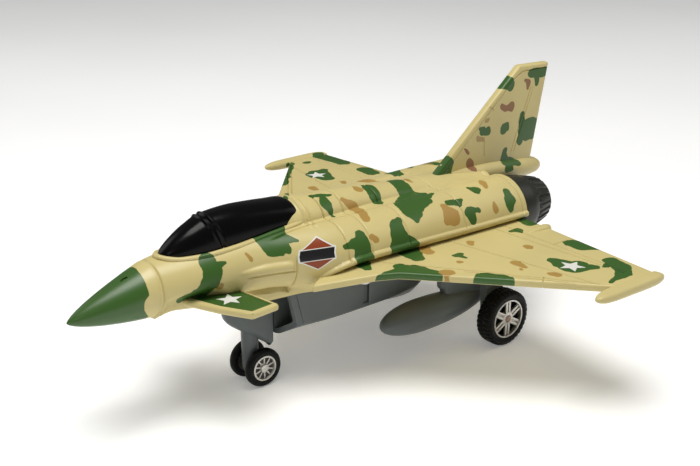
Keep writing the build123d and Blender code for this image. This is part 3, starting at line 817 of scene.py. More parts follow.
def belly_ring(station):
    """One upright section of the belly's trough."""
    half, side, keel, keel_half = (float(v) for v in BELLY(station))
    corners = [
        (-half, BELLY_TOP),
        (-half, side),
        (-keel_half, keel),
        (keel_half, keel),
        (half, side),
        (half, BELLY_TOP),
    ]
    outline = round_corners(corners, (0.4, 1.4, 2.0, 2.0, 1.4, 0.4))
    return [(x, station, z) for x, z in outline]


def belly():
    """The grey trough with its raked intake mouths, frame line and side hatches."""
    stations = list(np.linspace(91, 150, 30)) + list(np.linspace(151.5, 177.9, 30))
    rings = [belly_ring(y) for y in stations]
    end = [(x * 0.86, 178.6, BELLY_MIDDLE + (z - BELLY_MIDDLE) * 0.8) for x, y, z in rings[-1]]
    shell = tube("belly_skin", rings + [end], 30)
    cutters = []
    for side in (-1, 1):
        corners = [(2.6, 43.0), (2.6, 23.4), (3.8, 23.4), (14.4, 30.0), (14.4, 43.0)]
        mouth = round_corners(corners, (0.5, 0.5, 0.5, 1.6, 0.5), 4)
        ends = [[(side * x, y, z) for x, z in mouth] for y in (100.0, 89.0)]
        cutters.append(tube("mouth", ends))
        top, bottom = (side * MOUTH_WALL, 94.4, 43.6), (side * MOUTH_WALL, 94.4, 27.4)
        cutters.append(vee_bar(top, bottom, (side, 0, 0), 0.5, 0.35))
        corners = [(130.8, 28.8), (HATCH_FRONT, 28.8), (HATCH_FRONT, 43.0), (130.8, 43.0)]
        cutters.append(prism("recess", corners, side * 15.6, side * 18.0, "yz"))
        keel, bilge = (side * 4.2, 95.2, 20.8), (side * MOUTH_WALL, 94.4, 28.3)
        cutters.append(vee_bar(keel, bilge, (side * 0.5, 0, -1), 0.5, 0.35))
    carve(shell, cutters, 30)
    for vertex in shell.data.vertices:
        x, y, z = vertex.co / MM
        y -= NOSE_Y / MM
        near = 1 - step(y, 93.0, 108.0)
        rake = max(43.6 - z, 0) * (0.06 + 0.2 * min(abs(x) / MOUTH_WALL, 1))
        vertex.co.y += rake * near * MM
    pads = []
    for side in (-1, 1):
        corners = [(HATCH_FRONT, 42.8), (HATCH_FRONT, 28.2), (144.0, 27.6), (149.6, 28.4), (149.6, 42.8)]
        outline = round_corners(corners, (0.3, 1.2, 1.5, 3.4, 0.3))
        pad = prism("hatch", outline, side * 15.2, side * 16.95, "yz")
        soften(pad, 0.4, 2, 50)
        pads.append(pad)
    return join([shell] + pads, "belly_skin")


def housing():
    """The grey wedge between the nose leg and the intake, round in front."""
    front = curve_through([(17.6, 88.0), (25.3, 77.4), (30.7, 70.6), (34.1, 68.7), (47.0, 68.5)])
    corner = 1.4
    rings = []
    for height in (17.5, 17.7, 18.2, 19.2, 21, 23, 25.3, 27.5, 29, 30.5, 31.5, 32.5, 34, 36, 40, 46.5):
        start = float(front(height)[0])
        back = 90.2 - 1.2 * (1 - step(height, 17.3, 19.4))
        half = 6.0 - 0.9 * (1 - step(height, 17.3, 18.6))
        reach = min(half, (back - start) * 0.6)
        ring = [(half * cos(t), start + reach * (1 - sin(t)), height) for t in np.linspace(0, pi, 25)]
        for side, first in ((-1, pi), (1, pi / 2)):
            for angle in np.linspace(first, first - pi / 2, 5):
                across = side * (half - corner) + corner * cos(angle)
                ring.append((across, back - corner + corner * sin(angle), height))
        rings.append(ring)
    return tube("housing_skin", rings, 30)


def leg():
    """The round nose leg, with a domed foot below the axle."""
    profile = [
        (35.0, 3.8), (24.0, 3.75), (18.0, 3.7), (9.0, 3.6),
        (7.2, 3.4), (6.0, 2.8), (5.2, 1.6), (5.0, 0.1),
    ]
    return tube("nose_leg_skin", lathe(profile, (0.0, 81.3), "z", 64), 50)


# ================================================================ wheels
NOSE_AXLE = (83.7, 8.7)
MAIN_AXLE = (194.1, 13.4)


def spoke(axle, angle, depths, reach, half, offset=0.0, bevel=0.25):
    """A bevelled bar between two depths and two distances from an axle, turned about it."""
    y, z = axle[0] + offset, axle[1]
    near, far = depths
    corners = [(near, y - half), (far, y - half), (far, y + half), (near, y + half)]
    block = prism("spoke", corners, z + reach[0], z + reach[1])
    soften(block, bevel, 2)
    y, z = axle[0] * MM + NOSE_Y, axle[1] * MM
    there, back = Matrix.Translation((0, y, z)), Matrix.Translation((0, -y, -z))
    block.data.transform(there @ Matrix.Rotation(angle, 4, "X") @ back)
    return block


def main_tyre():
    """A square-shouldered tyre with staggered tread blocks."""
    blocks = 34
    centre = 41.0

    def tread(turn, along, radius):
        shoulder = abs(along - centre) > 1.0
        shift = 0 if along > centre else pi / blocks
        notch = (np.cos(blocks * (turn + shift)) > 0.55) & shoulder & (radius > 12.2)
        return radius - 0.42 * notch

    profile = [
        (37.4, 9.0), (37.0, 9.3), (36.7, 10.0), (36.6, 11.4), (36.9, 12.4), (37.4, 13.0), (38.1, 13.3),
        (39.9, 13.4), (40.3, 13.35), (40.5, 12.95), (41.5, 12.95), (41.7, 13.35), (42.1, 13.4),
        (43.9, 13.3), (44.6, 13.0), (45.1, 12.4), (45.4, 11.4), (45.3, 10.0), (45.0, 9.3), (44.7, 9.0),
    ]
    ring = tube("tyre", lathe(profile, MAIN_AXLE, "x", 8 * blocks, tread), 25, hoop=True)
    well = tube("well", lathe([(37.6, 9.1), (42.6, 9.1), (42.6, 0.2)], MAIN_AXLE, "x"), 40)
    return join([ring, well], "main_tyre_skin_left")


def main_rim():
    """The silver wheel: a rolled rim edge and six pairs of spokes round a hub."""
    rim = [
        (37.4, 9.05), (44.7, 9.15), (45.1, 9.2), (45.2, 8.9), (45.1, 8.5),
        (44.6, 8.35), (43.2, 8.3), (42.7, 8.6), (37.4, 8.6),
    ]
    parts = [tube("rim", lathe(rim, MAIN_AXLE, "x", 120), 40, hoop=True)]
    for angle in np.arange(6) * pi / 3:
        for offset in (-0.95, 0.95):
            parts.append(spoke(MAIN_AXLE, angle, (43.4, 44.7), (1.6, 8.6), 0.62, offset))
        parts.append(spoke(MAIN_AXLE, angle, (43.0, 43.9), (1.6, 8.6), 0.7))
    hub = [(42.4, 0.2), (42.4, 3.4), (44.3, 3.3), (44.8, 2.9), (44.9, 1.9), (44.6, 1.7), (44.6, 0.1)]
    parts.append(tube("hub", lathe(hub, MAIN_AXLE, "x", 64)))
    return join(parts, "main_rim_skin_left")


def hub_cap():
    """The little domed cap in the middle of a main wheel."""
    dome = [(44.3, 0.1), (44.3, 1.6), (44.9, 1.6), (45.05, 1.3), (45.15, 0.8), (45.18, 0.1)]
    return tube("main_hub_cap_skin_left", lathe(dome, MAIN_AXLE, "x", 40), 40)


def nose_tyre():
    """A plain small tyre with round shoulders."""
    profile = [
        (4.3, 5.6), (4.05, 6.2), (4.0, 7.4), (4.3, 8.2), (4.9, 8.6), (5.9, 8.7), (6.8, 8.6),
        (7.5, 8.2), (7.85, 7.6), (7.9, 6.6), (7.75, 6.0), (7.5, 5.7),
    ]
    return tube("nose_tyre_skin_left", lathe(profile, NOSE_AXLE, "x", 120), hoop=True)


def nose_hub():
    """The small wheel: rim edge, sunk face with ribs and a round boss, with painted shade in the sunk
    ring.
    """
    profile = [
        (4.2, 0.2), (4.2, 5.75), (7.5, 5.8), (7.75, 5.7), (7.85, 5.4), (7.8, 5.0), (7.1, 4.75),
        (6.9, 4.4), (6.8, 2.3), (7.3, 2.0), (7.7, 1.9), (7.85, 1.6), (7.9, 0.8), (7.9, 0.1),
    ]
    parts = [tube("hub", lathe(profile, NOSE_AXLE, "x"))]
    for angle in np.arange(10) * pi / 5:
        parts.append(spoke(NOSE_AXLE, angle, (6.6, 7.3), (1.7, 4.9), 0.32, bevel=0.15))
    hub = join(parts, "nose_hub_skin_left")
    hub.data.materials.append(silver)
    hub.data.materials.append(recess_shade_metal)
    for face in hub.data.polygons:  # the sunk ring between boss and rim edge is dark: painted shade in the recess
        x, y, z = face.center / MM
        radius = np.hypot(y - NOSE_Y / MM - NOSE_AXLE[0], z - NOSE_AXLE[1])
        if abs(x) < 7.0 and 1.9 < radius < 5.0 and abs(face.normal.x) > 0.3:
            face.material_index = 1
    return hub


# ================================================================ drop tanks
def tank():
    """A long drop with its fullest part forward of the middle."""
    start, end, x, z, full = 133.0, 198.5, 26.0, 19.8, 7.55
    waist = start + 0.36 * (end - start)
    profile = []
    for t in np.linspace(0.02, pi - 0.02, 90):
        y = start + (end - start) * (1 - cos(t)) / 2
        if y < waist:
            radius = full * (1 - ((waist - y) / (waist - start)) ** 2.1) ** 0.5
        else:
            radius = full * (1 - ((y - waist) / (end - waist)) ** 2.3) ** 0.72
        profile.append((y, max(radius, 0.1)))
    return tube("drop_tank_skin_left", lathe(profile, (x, z), "y", 72), 60)


def pylon():
    """The plate and the round peg that hold a tank under the wing."""
    outline = [(170.6, 24.0), (168.6, 30.0), (170.0, 40.0), (172.0, 51.6), (197.0, 51.6), (193.0, 22.0)]
    plate = prism("plate", outline, 23.5, 28.5, "yz")
    soften(plate, 1.6, 4)
    profile = [(51.6, 2.5), (31.0, 2.4), (29.8, 2.1), (29.2, 1.4), (29.0, 0.1)]
    peg = tube("peg", lathe(profile, (26.0, 169.4), "z", 40), 50)
    return join([plate, peg], "tank_pylon_skin_left")


# ================================================================ studio
CAMERA_AZIMUTH = radians(51.2)
CAMERA_ELEVATION = radians(20.4)
CAMERA_PLACE = (357.95, -151.29, 226.91)
LENS_MM = 56.4


def add_object(name, data):
    """An object in the scene that isn't a piece of the toy."""
    made = bpy.data.objects.new(name, data)
    bpy.context.scene.collection.objects.link(made)
    return made


def add_camera():
    """The camera at the place and angle that the photograph was taken from."""
    lens = bpy.data.cameras.new("camera")
    lens.lens = LENS_MM
    lens.sensor_width = 36.0
    lens.clip_start = 0.01
    lens.clip_end = 20
    camera = add_object("camera", lens)
    side, rise = CAMERA_AZIMUTH, CAMERA_ELEVATION
    back = Vector((sin(side) * cos(rise), -cos(side) * cos(rise), sin(rise)))
    right = Vector((cos(side), sin(side), 0))
    turn = Matrix((right, back.cross(right), back)).transposed().to_4x4()
    camera.matrix_world = Matrix.Translation(Vector(place(CAMERA_PLACE))) @ turn
    bpy.context.scene.camera = camera


def add_floor():
    """A wide sheet of pale paper."""
    sheet = bpy.data.meshes.new("floor")
    corners = [(-6, -6, 0), (6, -6, 0), (6, 6, 0), (-6, 6, 0)]  # metres
    sheet.from_pydata(corners, [], [(0, 1, 2, 3)])
    floor = add_object("floor", sheet)
    floor.data.materials.append(floor_material())


def add_lamps():
    """Soft round lamps aimed at the toy, and a faint even surround."""
    for name, spot, size, power, colour in (  # places and sizes in metres, power in watts
        ("key", (0.12, -0.1, 1.2), 0.8, 14, (1.0, 0.99, 0.96)),
        ("front", (0.9, -1.2, 0.8), 0.6, 1.3, (1.0, 0.99, 0.97)),
        ("fill", (-1.1, -0.6, 0.7), 0.8, 2.1, (0.96, 0.98, 1.0)),
        ("rear", (0.5, 1.1, 0.9), 0.8, 1.9, (1.0, 1.0, 1.0)),
    ):
        light = bpy.data.lights.new(name, "AREA")
        light.shape = "DISK"
        light.size = size
        light.energy = power
        light.color = colour
        lamp = add_object(name, light)
        lamp.location = spot
        aim = Vector((0, 0, 0.05)) - Vector(spot)
        lamp.rotation_euler = aim.to_track_quat("-Z", "Y").to_euler()
    world = bpy.data.worlds.new("studio")
    bpy.context.scene.world = world
    world.use_nodes = True
    backdrop = world.node_tree.nodes["Background"]
    backdrop.inputs["Color"].default_value = (1, 1, 1, 1)
    backdrop.inputs["Strength"].default_value = 0.1


def floor_material():
    """Plain pale studio paper with a breath of mottling."""
    material, tree, shader = new_material("paper_floor", 0.6)
    colour = noise_colour(tree, (0.93, 0.93, 0.93), (0.96, 0.96, 0.96), 3.0)
    tree.links.new(colour, shader.inputs["Base Color"])
    tree.links.new(colour, shader.inputs["Emission Color"])
    shader.inputs["Emission Strength"].default_value = 0.22
    return material


# ================================================================ materials
def new_material(name, roughness, sheen=0.25):
    """A node material with its tree and its main shader."""
    material = bpy.data.materials.new(name)
    material.use_nodes = True
    tree = material.node_tree
    shader = tree.nodes["Principled BSDF"]
    shader.inputs["Roughness"].default_value = roughness
    shader.inputs["Specular IOR Level"].default_value = sheen
    return material, tree, shader


def object_noise(tree, scale):
    """Noise that is fixed to the object."""
    coords = tree.nodes.new("ShaderNodeTexCoord")
    noise = tree.nodes.new("ShaderNodeTexNoise")
    noise.inputs["Scale"].default_value = scale
    tree.links.new(coords.outputs["Object"], noise.inputs["Vector"])
    return noise


def noise_colour(tree, dark, light, scale):
    """A colour that drifts between two tones."""
    noise = object_noise(tree, scale)
    noise.inputs["Detail"].default_value = 3.0
    ramp = tree.nodes.new("ShaderNodeValToRGB")
    for stop, position, colour in zip(ramp.color_ramp.elements, (0.35, 0.65), (dark, light)):
        stop.position = position
        stop.color = (*colour, 1)
    tree.links.new(noise.outputs["Fac"], ramp.inputs["Fac"])
    return ramp.outputs["Color"]


def metal(name, base, roughness, metallic=1.0):
    """Slightly brushed metal or metallic paint."""
    material, tree, shader = new_material(name, roughness)
    dark = tuple(c * 0.9 for c in base)
    tree.links.new(noise_colour(tree, dark, base, 900.0), shader.inputs["Base Color"])
    shader.inputs["Metallic"].default_value = metallic
    return material


def plastic(name, base, roughness, grain=0.05, sheen=0.25):
    """Moulded plastic: near-uniform colour and a fine grain."""
    material, tree, shader = new_material(name, roughness, sheen)
    dark = tuple(c * 0.93 for c in base)
    tree.links.new(noise_colour(tree, dark, base, 60.0), shader.inputs["Base Color"])
    add_grain(tree, shader, grain)
    return material


def add_grain(tree, shader, strength=0.05):
    """The faint orange-peel of sprayed or moulded plastic."""
    bump = tree.nodes.new("ShaderNodeBump")
    bump.inputs["Strength"].default_value = strength
    bump.inputs["Distance"].default_value = 0.0001
    tree.links.new(object_noise(tree, 2200.0).outputs["Fac"], bump.inputs["Height"])
    tree.links.new(bump.outputs["Normal"], shader.inputs["Normal"])


# ================================================================ camouflage
# Each patch is a chain of discs in millimetres, and neighbours in a chain are joined.
WING_GREENS_LEFT = [  # station, distance out, radius
    [(120, 27, 4.5), (118, 34.5, 1.8)],
    [(145.5, 26, 7), (142, 39, 3.2)],
    [(117.5, 45, 3.4), (125, 48, 6.6), (131.5, 48, 6.6), (135, 55.5, 4.4)],
    [(130.5, 40.8, 3), (131, 47, 6)],
    [(149.5, 71.5, 4.8), (153, 77.5, 5)],
    [(157.2, 46.8, 2), (159.4, 46.8, 1.9)],
    [(158.2, 47, 2.2), (158.4, 51.6, 0.8)],
    [(196.8, 40.6, 1.3), (200.6, 41.6, 2.3), (200, 44.8, 0.8)],
    [(215, 32, 5), (212, 38.5, 3.6)],
    [(207, 68, 4), (208.5, 73, 5.4), (211.5, 79, 3)],
    [(185, 76.5, 3), (186, 86.5, 6.3), (192.5, 92.5, 2.2)],
    [(183.5, 88.5, 3.6), (190, 86, 4)],
    [(204, 92, 3.4), (202, 99, 4.2), (196.5, 104.5, 3.2), (185, 106.8, 1)],
    [(196, 94.5, 1), (202, 94, 3)],
]
WING_BROWNS_LEFT = [
    [(152.8, 32.4, 2.4), (151, 36, 3.2)],
    [(173.6, 38.8, 1.7), (171.6, 41.2, 1.5)],
    [(153, 53.2, 1.6), (153.2, 53.4, 1.5)],
    [(140.4, 58.2, 3.2), (141, 58.8, 3)],
    [(188.4, 58.6, 2.1), (188, 59.8, 1.9)],
    [(171, 68.6, 2.5), (170.2, 73.6, 1.7)],
    [(166.6, 74.8, 1), (167.2, 74.2, 0.8)],
    [(172.8, 85.4, 1.6), (174.4, 87.8, 2.6)],
]
WING_GREENS_RIGHT = [
    [(157, 80.5, 2.4), (181.5, 107.5, 2.6)],
    [(181, 75, 4.2), (182, 83, 6.6), (188, 86.5, 2.8)],
    [(205.8, 67, 4), (205.8, 74, 4.4)],
    [(205, 91, 3.6), (203, 109, 4.4)],
    [(189.5, 103.5, 2.3), (190, 103.8, 2.2)],
    [(147, 62.6, 1.8), (148, 64, 1.4)],
    [(156.8, 56, 1.6), (164, 51.4, 1.8)],
    [(126, 38, 5), (132, 45, 6.5)],
    [(142, 33, 4), (150, 28, 5)],
]
WING_BROWNS_RIGHT = [
    [(181.6, 49.4, 2), (184, 53.4, 1.6)],
    [(183, 62.6, 1.5), (183.8, 64.8, 1.5)],
    [(164.6, 61, 1.4), (165.4, 66.4, 2.3)],
    [(171, 39, 2.2), (173, 42, 1.6)],
    [(194, 36, 2.4), (191, 39, 2)],
]
FIN_GREENS = [  # station, height, radius
    [(230.6, 111.6, 3.4), (233.6, 110.4, 3.4)],
    [(248, 113.6, 2.2), (258, 113, 2.6)],
    [(252.2, 111.4, 2), (252.4, 107.8, 1.3)],
    [(243.2, 93.8, 1.8), (243.4, 90, 2.3), (243.6, 84.5, 2.6), (242.6, 80.4, 1.9)],
    [(247, 87.4, 3.8), (252, 87.2, 3.8)],
    [(247, 83.4, 3.6), (251, 83.2, 3.7)],
    [(230.8, 88.4, 2.5), (232.2, 89.4, 2.4)],
    [(216, 89.6, 2), (219.8, 89.8, 2.2)],
    [(214.6, 91.4, 1.1), (216.8, 91.6, 1.2)],
    [(232.2, 77.2, 1.5), (232, 73, 2.8), (241, 70, 1)],
    [(231, 69, 1.6), (234, 69, 1.6)],
    [(195, 78, 2.7), (191.6, 72.4, 4.6), (187, 68.6, 2.6)],
]
FIN_BROWNS = [
    [(228.6, 100.2, 1.4), (231.4, 98.9, 1.4), (235, 99.2, 2), (236, 98.2, 1.2)],
    [(207.8, 76, 2.2), (208.6, 74.6, 2.4), (210.6, 72.8, 0.9)],
    [(204.6, 82.9, 0.5), (206.6, 80.6, 0.9)],
    [(243.6, 111, 0.6), (246.8, 109.2, 1.5), (246.4, 106.4, 0.8)],
]
FIN_PALE = [
    [(218.4, 95.2, 1), (219.8, 95, 1)],
    [(213.2, 86.6, 1.2), (216.2, 85.8, 1.2)],
]
SIDE_GREENS = [  # station, clock angle, radius
    [(55.4, 40, 3.6), (56, 20, 4), (53.5, 2, 3.8), (52, -12, 4.5)],
    [(57, 26, 3), (62.2, 27, 0.8)],
    [(43.5, -27, 1.4), (45.2, -16, 3.4), (50, -12, 4)],
    [(121, 17.5, 2.1), (119.6, 6, 3.9), (119.4, -3, 4.8), (122.6, -8, 1.8)],
    [(119, 10.5, 3), (112, 10.5, 1)],
    [(143, 21.5, 1.6), (139.8, 16, 3.8), (139, 8, 4.6), (139.6, 1, 6.2), (143.5, -3, 5.5)],
    [(172.6, 25.6, 1.5), (176.6, 23.4, 2), (180.4, 25.2, 0.9)],
    [(177, 20.6, 1.5), (177.2, 23, 1.6)],
    [(181, 12, 3), (181.6, 6.4, 2)],
    [(182, 14.2, 1.4), (186.4, 11.8, 1.3)],
    [(190, 35, 1.3), (192, 30.6, 2.6)],
    [(207, 22, 1.9), (206.6, 14, 3), (205.6, 8, 2.1)],
]
SIDE_BROWNS = [
    [(58.5, -1, 1.1), (58.4, -8, 1.4)],
    [(71.8, 29, 0.8), (72.6, 22, 1)],
    [(126, 13, 1.8), (127, 11, 1.9)],
    [(169.4, 22.5, 2.2), (170.2, 13.5, 4.5), (166.6, 10, 2)],
    [(201.2, 41, 1), (199.6, 36, 1.8), (198.6, 31, 1.4)],
    [(197, 15, 0.9), (196.6, 10, 2)],
]
SPINE_GREENS = [
    [(85.5, 57, 8.4), (84.6, 38, 6.6), (83.6, 28, 4.2), (85.4, 21, 1.8)],
    [(88, 34, 3.4), (93.4, 27, 0.7)],
    [(86.6, 25, 3), (88.6, 20, 1.6)],
    [(101, 88, 1), (106, 104, 1.4)],
    [(118, 78, 1.4), (117, 66, 3), (117.6, 45, 1)],
    [(113.2, 83, 1.4), (122, 78, 0.9)],
    [(144.2, 78, 3.8), (144, 54, 3)],
    [(163, 90, 4), (162, 62, 4.6), (162, 48, 5.2), (165.6, 42, 4.4), (170, 41, 1.8)],
    [(158, 41, 6), (152.4, 35, 5.2), (152, 26, 5), (151.4, 17.5, 1.2)],
    [(163, 33.5, 3.2), (157, 31, 4.6)],
    [(95, 140, 4), (101, 150, 5)],
    [(131, 128, 3), (136, 152, 5.5)],
    [(178, 138, 3), (180, 152, 5)],
    [(203, 140, 3), (199, 156, 4)],
]
SPINE_BROWNS = [
    [(126.6, 66, 1.7), (130, 55, 2.5), (130.6, 45, 2.3), (128, 30, 2)],
    [(138.4, 86, 1.2), (138, 79, 2.4)],
    [(169.6, 88, 1.8), (170, 78, 0.9)],
    [(120, 140, 2.6), (121, 128, 2)],
    [(160, 145, 3.4), (163, 130, 2)],
]
GREEN = (0.043, 0.112, 0.019)
BROWN = (0.40, 0.245, 0.062)
FIN_BROWN = (0.27, 0.13, 0.055)
FIN_BUFF = (0.40, 0.27, 0.10)
TAN = (0.62, 0.52, 0.225)
WHITE = (0.75, 0.75, 0.70)
BADGE_RED = (0.27, 0.05, 0.014)
BADGE_BLACK = (0.012, 0.012, 0.014)

# The body's paint is three materials, because one with every patch renders black.
# They meet at two stations that are clear of the patches.
PAINT_BREAK_1 = 109.5
PAINT_BREAK_2 = 188.4


# ================================================================ paint nodes
RIPPLE_LENGTH = 6.0  # of the wavy edges of patches


class Sums:
    """Small arithmetic nodes in one material tree."""

    def __init__(self, tree):
        self.tree = tree

    def node(self, kind, *values, **settings):
        """A node with its sockets set: a socket is linked, anything else is a fixed value."""
        made = self.tree.nodes.new(kind)
        for key, value in settings.items():
            setattr(made, key, value)
        for socket, value in zip(made.inputs, values):
            if isinstance(value, bpy.types.NodeSocket):
                self.tree.links.new(value, socket)
            elif value is not None:
                socket.default_value = value
        return made

    def math(self, operation, *values):
        return self.node("ShaderNodeMath", *values, operation=operation).outputs[0]

    def vector(self, operation, *values):
        made = self.node("ShaderNodeVectorMath", *values, operation=operation)
        return made.outputs["Value" if operation in ("DOT_PRODUCT", "LENGTH") else "Vector"]


def capsule_group():
    """A node group: distance to a rod whose two round ends have their own radii."""
    group = bpy.data.node_groups.new("capsule", "ShaderNodeTree")
    for name, kind in (
        ("Place", "NodeSocketVector"),
        ("Start", "NodeSocketVector"),
        ("End", "NodeSocketVector"),
        ("Start Radius", "NodeSocketFloat"),
        ("End Radius", "NodeSocketFloat"),
    ):
        group.interface.new_socket(name, in_out="INPUT", socket_type=kind)
    group.interface.new_socket("Distance", in_out="OUTPUT", socket_type="NodeSocketFloat")
    sums = Sums(group)
    given = group.nodes.new("NodeGroupInput").outputs
    result = group.nodes.new("NodeGroupOutput")
    from_start = sums.vector("SUBTRACT", given["Place"], given["Start"])
    whole = sums.vector("SUBTRACT", given["End"], given["Start"])
    reach = sums.vector("DOT_PRODUCT", from_start, whole)
    length = sums.vector("DOT_PRODUCT", whole, whole)
    share = sums.node("ShaderNodeMath", reach, length, operation="DIVIDE", use_clamp=True).outputs[0]
    nearest = sums.node("ShaderNodeVectorMath", whole, operation="SCALE")
    group.links.new(share, nearest.inputs["Scale"])
    apart = sums.vector("LENGTH", sums.vector("SUBTRACT", from_start, nearest.outputs[0]))
    growth = sums.math("SUBTRACT", given["End Radius"], given["Start Radius"])
    radius = sums.math("MULTIPLY_ADD", growth, share, given["Start Radius"])
    group.links.new(sums.math("SUBTRACT", apart, radius), result.inputs["Distance"])
    return group


def station_place(sums, ripple=1.5):
    """The shaded point in station millimetres, and the same place rippled by noise."""
    coords = sums.tree.nodes.new("ShaderNodeTexCoord").outputs["Object"]
    size = (1 / MM, 1 / MM, 1 / MM)
    place_mm = sums.vector("MULTIPLY_ADD", coords, size, (0, -NOSE_Y / MM, 0))
    noise = sums.tree.nodes.new("ShaderNodeTexNoise")
    noise.inputs["Scale"].default_value = 1 / RIPPLE_LENGTH
    noise.inputs["Detail"].default_value = 2.5
    sums.tree.links.new(place_mm, noise.inputs["Vector"])
    centred = sums.vector("SUBTRACT", noise.outputs["Color"], (0.5, 0.5, 0.5))
    rippled = sums.vector("MULTIPLY_ADD", centred, (ripple * 2,) * 3, place_mm)
    return place_mm, rippled


def patch_distance(sums, group, place_socket, chains):
    """Distance to the nearest of several patches."""
    nearest = None
    for chain in chains:
        patch = None
        for (start, start_r), (end, end_r) in zip(chain, chain[1:]):
            rod = sums.node("ShaderNodeGroup", node_tree=group)
            sums.tree.links.new(place_socket, rod.inputs["Place"])
            rod.inputs["Start"].default_value = start
            rod.inputs["End"].default_value = end
            rod.inputs["Start Radius"].default_value = start_r
            rod.inputs["End Radius"].default_value = end_r
            distance = rod.outputs["Distance"]
            patch = distance if patch is None else sums.math("SMOOTH_MIN", patch, distance, 1.2)
        nearest = patch if nearest is None else sums.math("MINIMUM", nearest, patch)
    return nearest


def inside(sums, distance):
    """1 where a distance is below nought, with an edge as fine as printed paint."""
    share = sums.math("DIVIDE", distance, -0.12)
    return sums.node("ShaderNodeMath", share, 0.5, operation="ADD", use_clamp=True).outputs[0]


def over(sums, mask, under, paint):
    """Paint laid over a colour where the mask is 1."""
    mix = sums.tree.nodes.new("ShaderNodeMix")
    mix.data_type = "RGBA"
    sums.tree.links.new(mask, mix.inputs["Factor"])
    for socket, value in ((mix.inputs["A"], under), (mix.inputs["B"], paint)):
        if isinstance(value, bpy.types.NodeSocket):
            sums.tree.links.new(value, socket)
        else:
            socket.default_value = (*value, 1)
    return mix.outputs["Result"]


def painted(name, layers, level=None, badge=False):
    """Tan plastic with patches of paint: layers are (chains, colour, plan, on both sides)."""
    material, tree, shader = new_material(name, 0.36, 0.4)
    sums = Sums(tree)
    place_mm, rippled = station_place(sums)
    colour = noise_colour(tree, tuple(c * 0.95 for c in TAN), TAN, 40.0)
    for chains, paint, plan, both in layers:
        spot = rippled
        if both:
            spot = sums.vector("ABSOLUTE", spot)
        spot = sums.vector("MULTIPLY", spot, plan)
        mask = inside(sums, patch_distance(sums, CAPSULE, spot, chains))
        if level is not None:
            height = sums.node("ShaderNodeSeparateXYZ", place_mm).outputs["Z"]
            mask = sums.math("MULTIPLY", mask, sums.math("GREATER_THAN", height, level))
        colour = over(sums, mask, colour, paint)
    if badge:
        colour = add_badge(sums, place_mm, colour)
    tree.links.new(colour, shader.inputs["Base Color"])
    add_grain(tree, shader)
    return material


def add_badge(sums, place_mm, colour):
    """A plain printed lozenge on each side: red, with a white edge and a black band."""
    station, level, half_length, half_band = 99.2, 62.5, 7.2, 2.1
    split = sums.node("ShaderNodeSeparateXYZ", place_mm)
    rise = sums.math("SUBTRACT", split.outputs["Z"], level)
    lean = sums.math("MULTIPLY", sums.math("MAXIMUM", rise, 0.0), 0.4)
    aft = sums.math("SUBTRACT", split.outputs["Y"], station)
    along = sums.math("ABSOLUTE", sums.math("SUBTRACT", aft, lean))
    height = sums.math("ABSOLUTE", rise)
    slope = sums.math("MULTIPLY_ADD", along, 0.50, sums.math("MULTIPLY", height, 0.87))
    past_end = sums.math("SUBTRACT", along, half_length)
    lozenge = sums.math("MAXIMUM", sums.math("SUBTRACT", slope, 5.2), past_end)
    band = sums.math("MAXIMUM", past_end, sums.math("SUBTRACT", height, half_band))
    shape = sums.math("SMOOTH_MIN", lozenge, band, 1.0)
    rim = sums.math("SUBTRACT", shape, 0.45)
    outboard = sums.math("GREATER_THAN", sums.math("ABSOLUTE", split.outputs["X"]), 12.0)
    for distance, paint in (
        (rim, WHITE),
        (shape, BADGE_RED),
        (sums.math("SUBTRACT", band, 0.3), WHITE),
        (band, BADGE_BLACK),
    ):
        mask = inside(sums, distance)
        if distance is not rim:
            mask = sums.math("MULTIPLY", mask, inside(sums, rim))
        colour = over(sums, sums.math("MULTIPLY", mask, outboard), colour, paint)
    return colour


def flat_chains(chains, plane, side=1):
    """Patch discs on a level or an upright plane as three-dimensional chains."""
    if plane == "xy":
        return [[((side * out, y, 0), r) for y, out, r in chain] for chain in chains]
    return [[((0, y, z), r) for y, z, r in chain] for chain in chains]


def body_chains(chains, low, high):
    """Patches that start between two stations: discs at clock angles as places on the body."""
    chosen = [chain for chain in chains if low <= chain[0][0] < high]
    return [[(on_body(y, angle), r) for y, angle, r in chain] for chain in chosen]


def nose_material():
    """Green paint that ends in a wavy edge just ahead of the nose ring."""
    material, tree, shader = new_material("nose_paint", 0.34, 0.5)
    sums = Sums(tree)
    _, rippled = station_place(sums, 1.1)
    split = sums.node("ShaderNodeSeparateXYZ", rippled)
    bare_patch = [((11.5, 31.5, 54), 4.4), ((10.5, 32, 49), 3.2)]
    dip = patch_distance(sums, CAPSULE, sums.vector("ABSOLUTE", rippled), [bare_patch])
    edge = sums.math("SUBTRACT", split.outputs["Y"], 30.0)
    mask = sums.math("MULTIPLY", inside(sums, edge), sums.math("SUBTRACT", 1.0, inside(sums, dip)))
    colour = over(sums, mask, TAN, GREEN)
    tree.links.new(colour, shader.inputs["Base Color"])
    add_grain(tree, shader)
    return material


def star(centre, level, radius, aim):
    """A printed five-pointed star lying on a level surface, one point towards aim degrees."""
    outline = []
    for point in range(10):
        reach = radius if point % 2 == 0 else radius * 0.45
        angle = radians(aim + 36 * point)
        outline.append((centre[0] + reach * cos(angle), centre[1] + reach * sin(angle)))
    return prism("star", outline, level - 0.15, level + 0.08)


